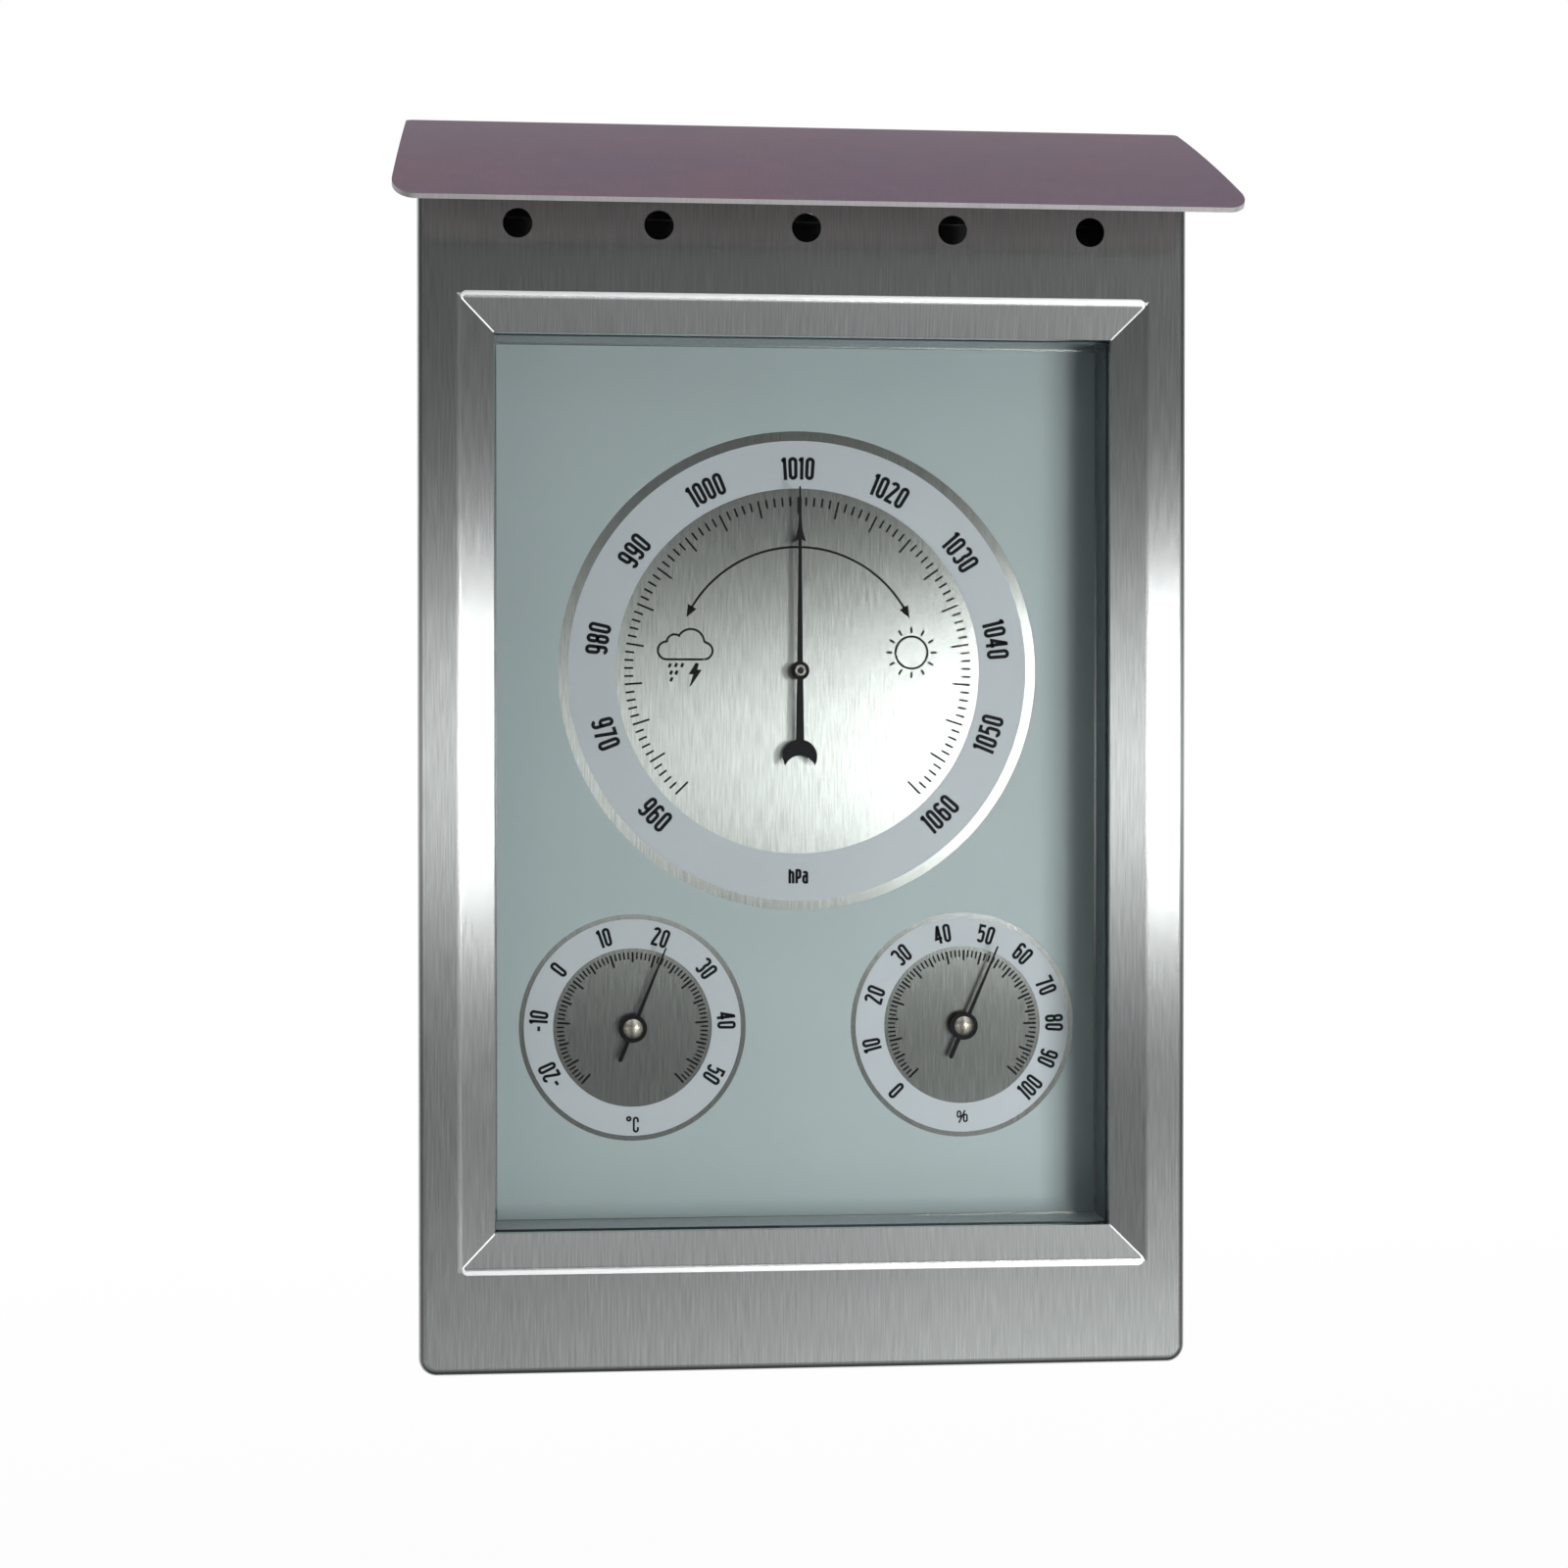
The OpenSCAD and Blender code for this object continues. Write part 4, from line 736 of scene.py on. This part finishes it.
def border_beads():
    """One bead along the upper fold and its two mitres, and one along the lower fold and its two."""
    low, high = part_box("glass_gasket")
    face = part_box("front_casing")[0].y / MM
    outer = high.x / MM - GASKET_LAP + BORDER_W
    top = high.z / MM - GASKET_LAP + BORDER_W
    bottom = low.z / MM + GASKET_LAP - BORDER_W
    half = half_bead(outer)
    for name, level, inwards in (("upper", top, -1), ("lower", bottom, 1)):
        def depth_at(corner):
            return border_depth(min(outer - abs(corner.x), (corner.y - level) * inwards))
        line = [(u - outer, level + inwards * v, share) for u, v, share in half]
        line += [(0, level, 1)] + [(-x, z, share) for x, z, share in reversed(line)]
        rings = []
        for i, (x, z, share) in enumerate(line):
            before, after = Vector(line[max(i - 1, 0)][:2]), Vector(line[min(i + 1, len(line) - 1)][:2])
            way = (after - before).normalized()
            across = Vector((-way.y, way.x))
            fold_width = FOLD_BEAD_LEFT + (FOLD_BEAD_RIGHT - FOLD_BEAD_LEFT) * (x + outer) / (2 * outer)
            width = MITRE_BEAD + (fold_width - MITRE_BEAD) * share
            section = bead_section(Vector((x, z)), across, width, depth_at)
            rings.append([(px * MM, (face + depth) * MM, pz * MM) for px, depth, pz in section])
        # Painted highlight: the bead's near-white colour stands in for the light caught on the folds and the
        # mitre seams
        piece(name + "_highlight_bead", tube(rings), "bead_painted_highlight")


# Light, surroundings and camera

# Studio's tone by the height of the view above the horizon, in degrees, and the tint of it all
STUDIO_TONES = [
    (-90, 0.05), (-56, 0.06), (-43, 0.16), (-34, 0.18), (-20, 0.28), (-12, 0.275), (-8, 0.058),
    (0, 0.04), (9, 0.06), (14, 0.13), (24, 0.24), (32, 0.37), (60, 0.5), (90, 0.5),
]
STUDIO_TINT = (0.985, 1.0, 1.0)

# Bright parts on the right, far right and left: bearing and width in degrees, and what each adds to the
# studio's base level on the walls and in the level strip of light
BRIGHT_PARTS = [(19.0, 11.0), (42.0, 14.0), (-31.0, 14.0)]
BASE_LEVEL = 0.5
WALL_LEVELS = (2.75, 1.04, 1.24)
STRIP_LEVELS = (1.0, 0.9, 1.9)

# Height and width in degrees of the level strip and of the low glow on the right
STRIP = (-0.4, 2.4)
GLOW = (-15.0, 5.0)

# White backdrop: height of its upper edge in degrees, and half the width of that edge's blur
BACKDROP_TOP, BACKDROP_BLUR = 27.5, 6.0

# Lamps, in metres and watts: what they light, and the key lamp's turn to the right and distance
LIT_AT = Vector((0, -0.04, -0.12))
KEY_TURN = math.radians(23)
KEY_DISTANCE = 0.95

# Floor in metres: its level, its front edge, its reach to the rear and to each side, and where it turns
# from almost white to white for the camera
FLOOR_LEVEL = -0.42
FLOOR_FRONT = -0.7
FLOOR_REACH = 3
FLOOR_COLOUR = (0.8, 0.8, 0.8)
WHITER_FROM, WHITER_TO = 0.2, 0.9
NEAR_WHITE, FAR_WHITE = 0.96, 1.0


def bell_curve(graph, value, centre, width):
    """Bell curve of a socket: one at the centre, falling off over the width."""
    off = graph.math("DIVIDE", graph.math("SUBTRACT", value, centre), width)
    return graph.math("EXPONENT", graph.product(off, off, -1.0))


def weighted_sum(graph, base, terms):
    """A base value plus each socket times its weight."""
    total = base
    for weight, socket in terms:
        total = graph.math("ADD", graph.product(socket, weight), total)
    return total


def studio_tone(graph, height):
    """Ramp of the studio's tones over the height of the view."""
    share = graph.node("ShaderNodeMapRange", {
        "Value": height, "From Min": -90.0, "From Max": 90.0}).outputs[0]
    ramp = graph.node("ShaderNodeValToRGB", {0: share})
    elements = ramp.color_ramp.elements
    elements.remove(elements[1])
    for index, (level, tone) in enumerate(STUDIO_TONES):
        position = (level + 90) / 180
        element = elements[0] if index == 0 else elements.new(position)
        element.position = position
        element.color = (tone, tone, tone, 1)
    return ramp.outputs[0]


def surroundings():
    """A studio with dim walls and soft light at camera height, and a white backdrop behind the part."""
    world = bpy.data.worlds.new("studio")
    bpy.context.scene.world = world
    world.use_nodes = True
    graph = Graph(world.node_tree)
    x, y, z = graph.parts(graph.node("ShaderNodeTexCoord").outputs["Generated"])
    height = graph.math("DEGREES", graph.math("ARCSINE", z))
    bearing = graph.math("DEGREES", graph.math("ARCTAN2", x, graph.product(y, -1.0)))
    bright = [bell_curve(graph, bearing, centre, width) for centre, width in BRIGHT_PARTS]
    right = bright[0]
    walls = graph.product(studio_tone(graph, height),
                          weighted_sum(graph, BASE_LEVEL, zip(WALL_LEVELS, bright)))
    strip = graph.product(bell_curve(graph, height, *STRIP),
                          weighted_sum(graph, BASE_LEVEL, zip(STRIP_LEVELS, bright)))
    glow = graph.product(bell_curve(graph, height, *GLOW), right)
    total = graph.math("ADD", walls, graph.math("ADD", strip, glow))
    studio = graph.node("ShaderNodeBackground", {
        "Color": graph.shade(STUDIO_TINT, total), "Strength": 1.0}).outputs[0]
    white = graph.node("ShaderNodeBackground", {"Color": (1, 1, 1, 1), "Strength": 1.0}).outputs[0]
    path = graph.node("ShaderNodeLightPath").outputs
    mirrored = graph.math("MAXIMUM", path["Is Glossy Ray"], path["Is Transmission Ray"])
    behind = graph.product(graph.spread(y, 0.0, 1.0, centre=0.3, reach=0.2),
                           graph.spread(height, 1.0, 0.0, centre=BACKDROP_TOP, reach=BACKDROP_BLUR))
    seen = graph.math("MAXIMUM", path["Is Camera Ray"], graph.product(mirrored, behind))
    either = graph.node("ShaderNodeMixShader", {0: seen, 1: studio, 2: white}).outputs[0]
    graph.node("ShaderNodeOutputWorld", {"Surface": either})


def lamp(name, spot, aim, power, size, diffuse=True, glossy=False):
    """Square lamp that the camera doesn't see, for diffuse light, for reflections or for both."""
    data = bpy.data.lights.new(name, "AREA")
    data.shape = "SQUARE"
    data.size = size
    data.energy = power
    made = bpy.data.objects.new(name, data)
    made.location = spot
    made.rotation_euler = (Vector(aim) - Vector(spot)).to_track_quat("-Z", "Y").to_euler()
    made.visible_camera = False
    made.visible_diffuse = diffuse
    made.visible_glossy = glossy
    bpy.context.scene.collection.objects.link(made)


def lights():
    """A key at camera height with a twin for reflections alone, a low lamp and a broad one behind."""
    to_right, to_front = KEY_DISTANCE * math.sin(KEY_TURN), KEY_DISTANCE * math.cos(KEY_TURN)
    spot = (LIT_AT.x + to_right, LIT_AT.y - to_front, CAMERA_AT[2])
    lamp("key", spot, LIT_AT, power=2.0, size=0.12)
    lamp("key_gleam", spot, LIT_AT, power=1.8, size=0.14, diffuse=False, glossy=True)
    lamp("low", spot=(0.31, -0.46, -0.29), aim=(0.05, -0.04, -0.22), power=2.5, size=0.15)
    lamp("rear", spot=(-0.6, 1.5, 0.7), aim=LIT_AT, power=16, size=0.9)


def floor():
    """Pale floor under the part, white to the camera apart from the part's soft shadow."""
    made, graph = material("pale_floor")
    grain = graph.spread(graph.noise(60), 0.97, 1.0)
    lit = graph.node("ShaderNodeBsdfDiffuse", {"Color": graph.shade(FLOOR_COLOUR, grain)}).outputs[0]
    white = graph.node("ShaderNodeEmission", {"Color": (1, 1, 1, 1), "Strength": 1.0}).outputs[0]
    whiteness = graph.node("ShaderNodeMapRange", {
        "Value": graph.parts(graph.place())[1], "From Min": WHITER_FROM, "From Max": WHITER_TO,
        "To Min": NEAR_WHITE, "To Max": FAR_WHITE}).outputs[0]
    seen = graph.product(graph.node("ShaderNodeLightPath").outputs["Is Camera Ray"], whiteness)
    graph.surface(graph.node("ShaderNodeMixShader", {0: seen, 1: lit, 2: white}).outputs[0])
    mesh = bmesh.new()
    corners = [(-FLOOR_REACH, FLOOR_FRONT), (FLOOR_REACH, FLOOR_FRONT),
               (FLOOR_REACH, FLOOR_REACH), (-FLOOR_REACH, FLOOR_REACH)]
    mesh.faces.new([mesh.verts.new((x, y, FLOOR_LEVEL)) for x, y in corners])
    data = bpy.data.meshes.new("pale_floor")
    mesh.to_mesh(data)
    mesh.free()
    data.materials.append(made)
    plane = bpy.data.objects.new("pale_floor", data)
    plane.visible_glossy = False
    bpy.context.scene.collection.objects.link(plane)


def camera():
    data = bpy.data.cameras.new("camera")
    data.lens = CAMERA_LENS
    data.sensor_width = SENSOR
    made = bpy.data.objects.new("camera", data)
    made.location = CAMERA_AT
    made.rotation_euler = [math.radians(angle) for angle in CAMERA_TURN]
    bpy.context.scene.collection.objects.link(made)
    bpy.context.scene.camera = made


bpy.context.scene.view_settings.view_transform = "Standard"
camera()
surroundings()
lights()
floor()
finish_nodes()
barometer_scale()
thermometer_scale()
hygrometer_scale()
weather_symbols()
border_beads()
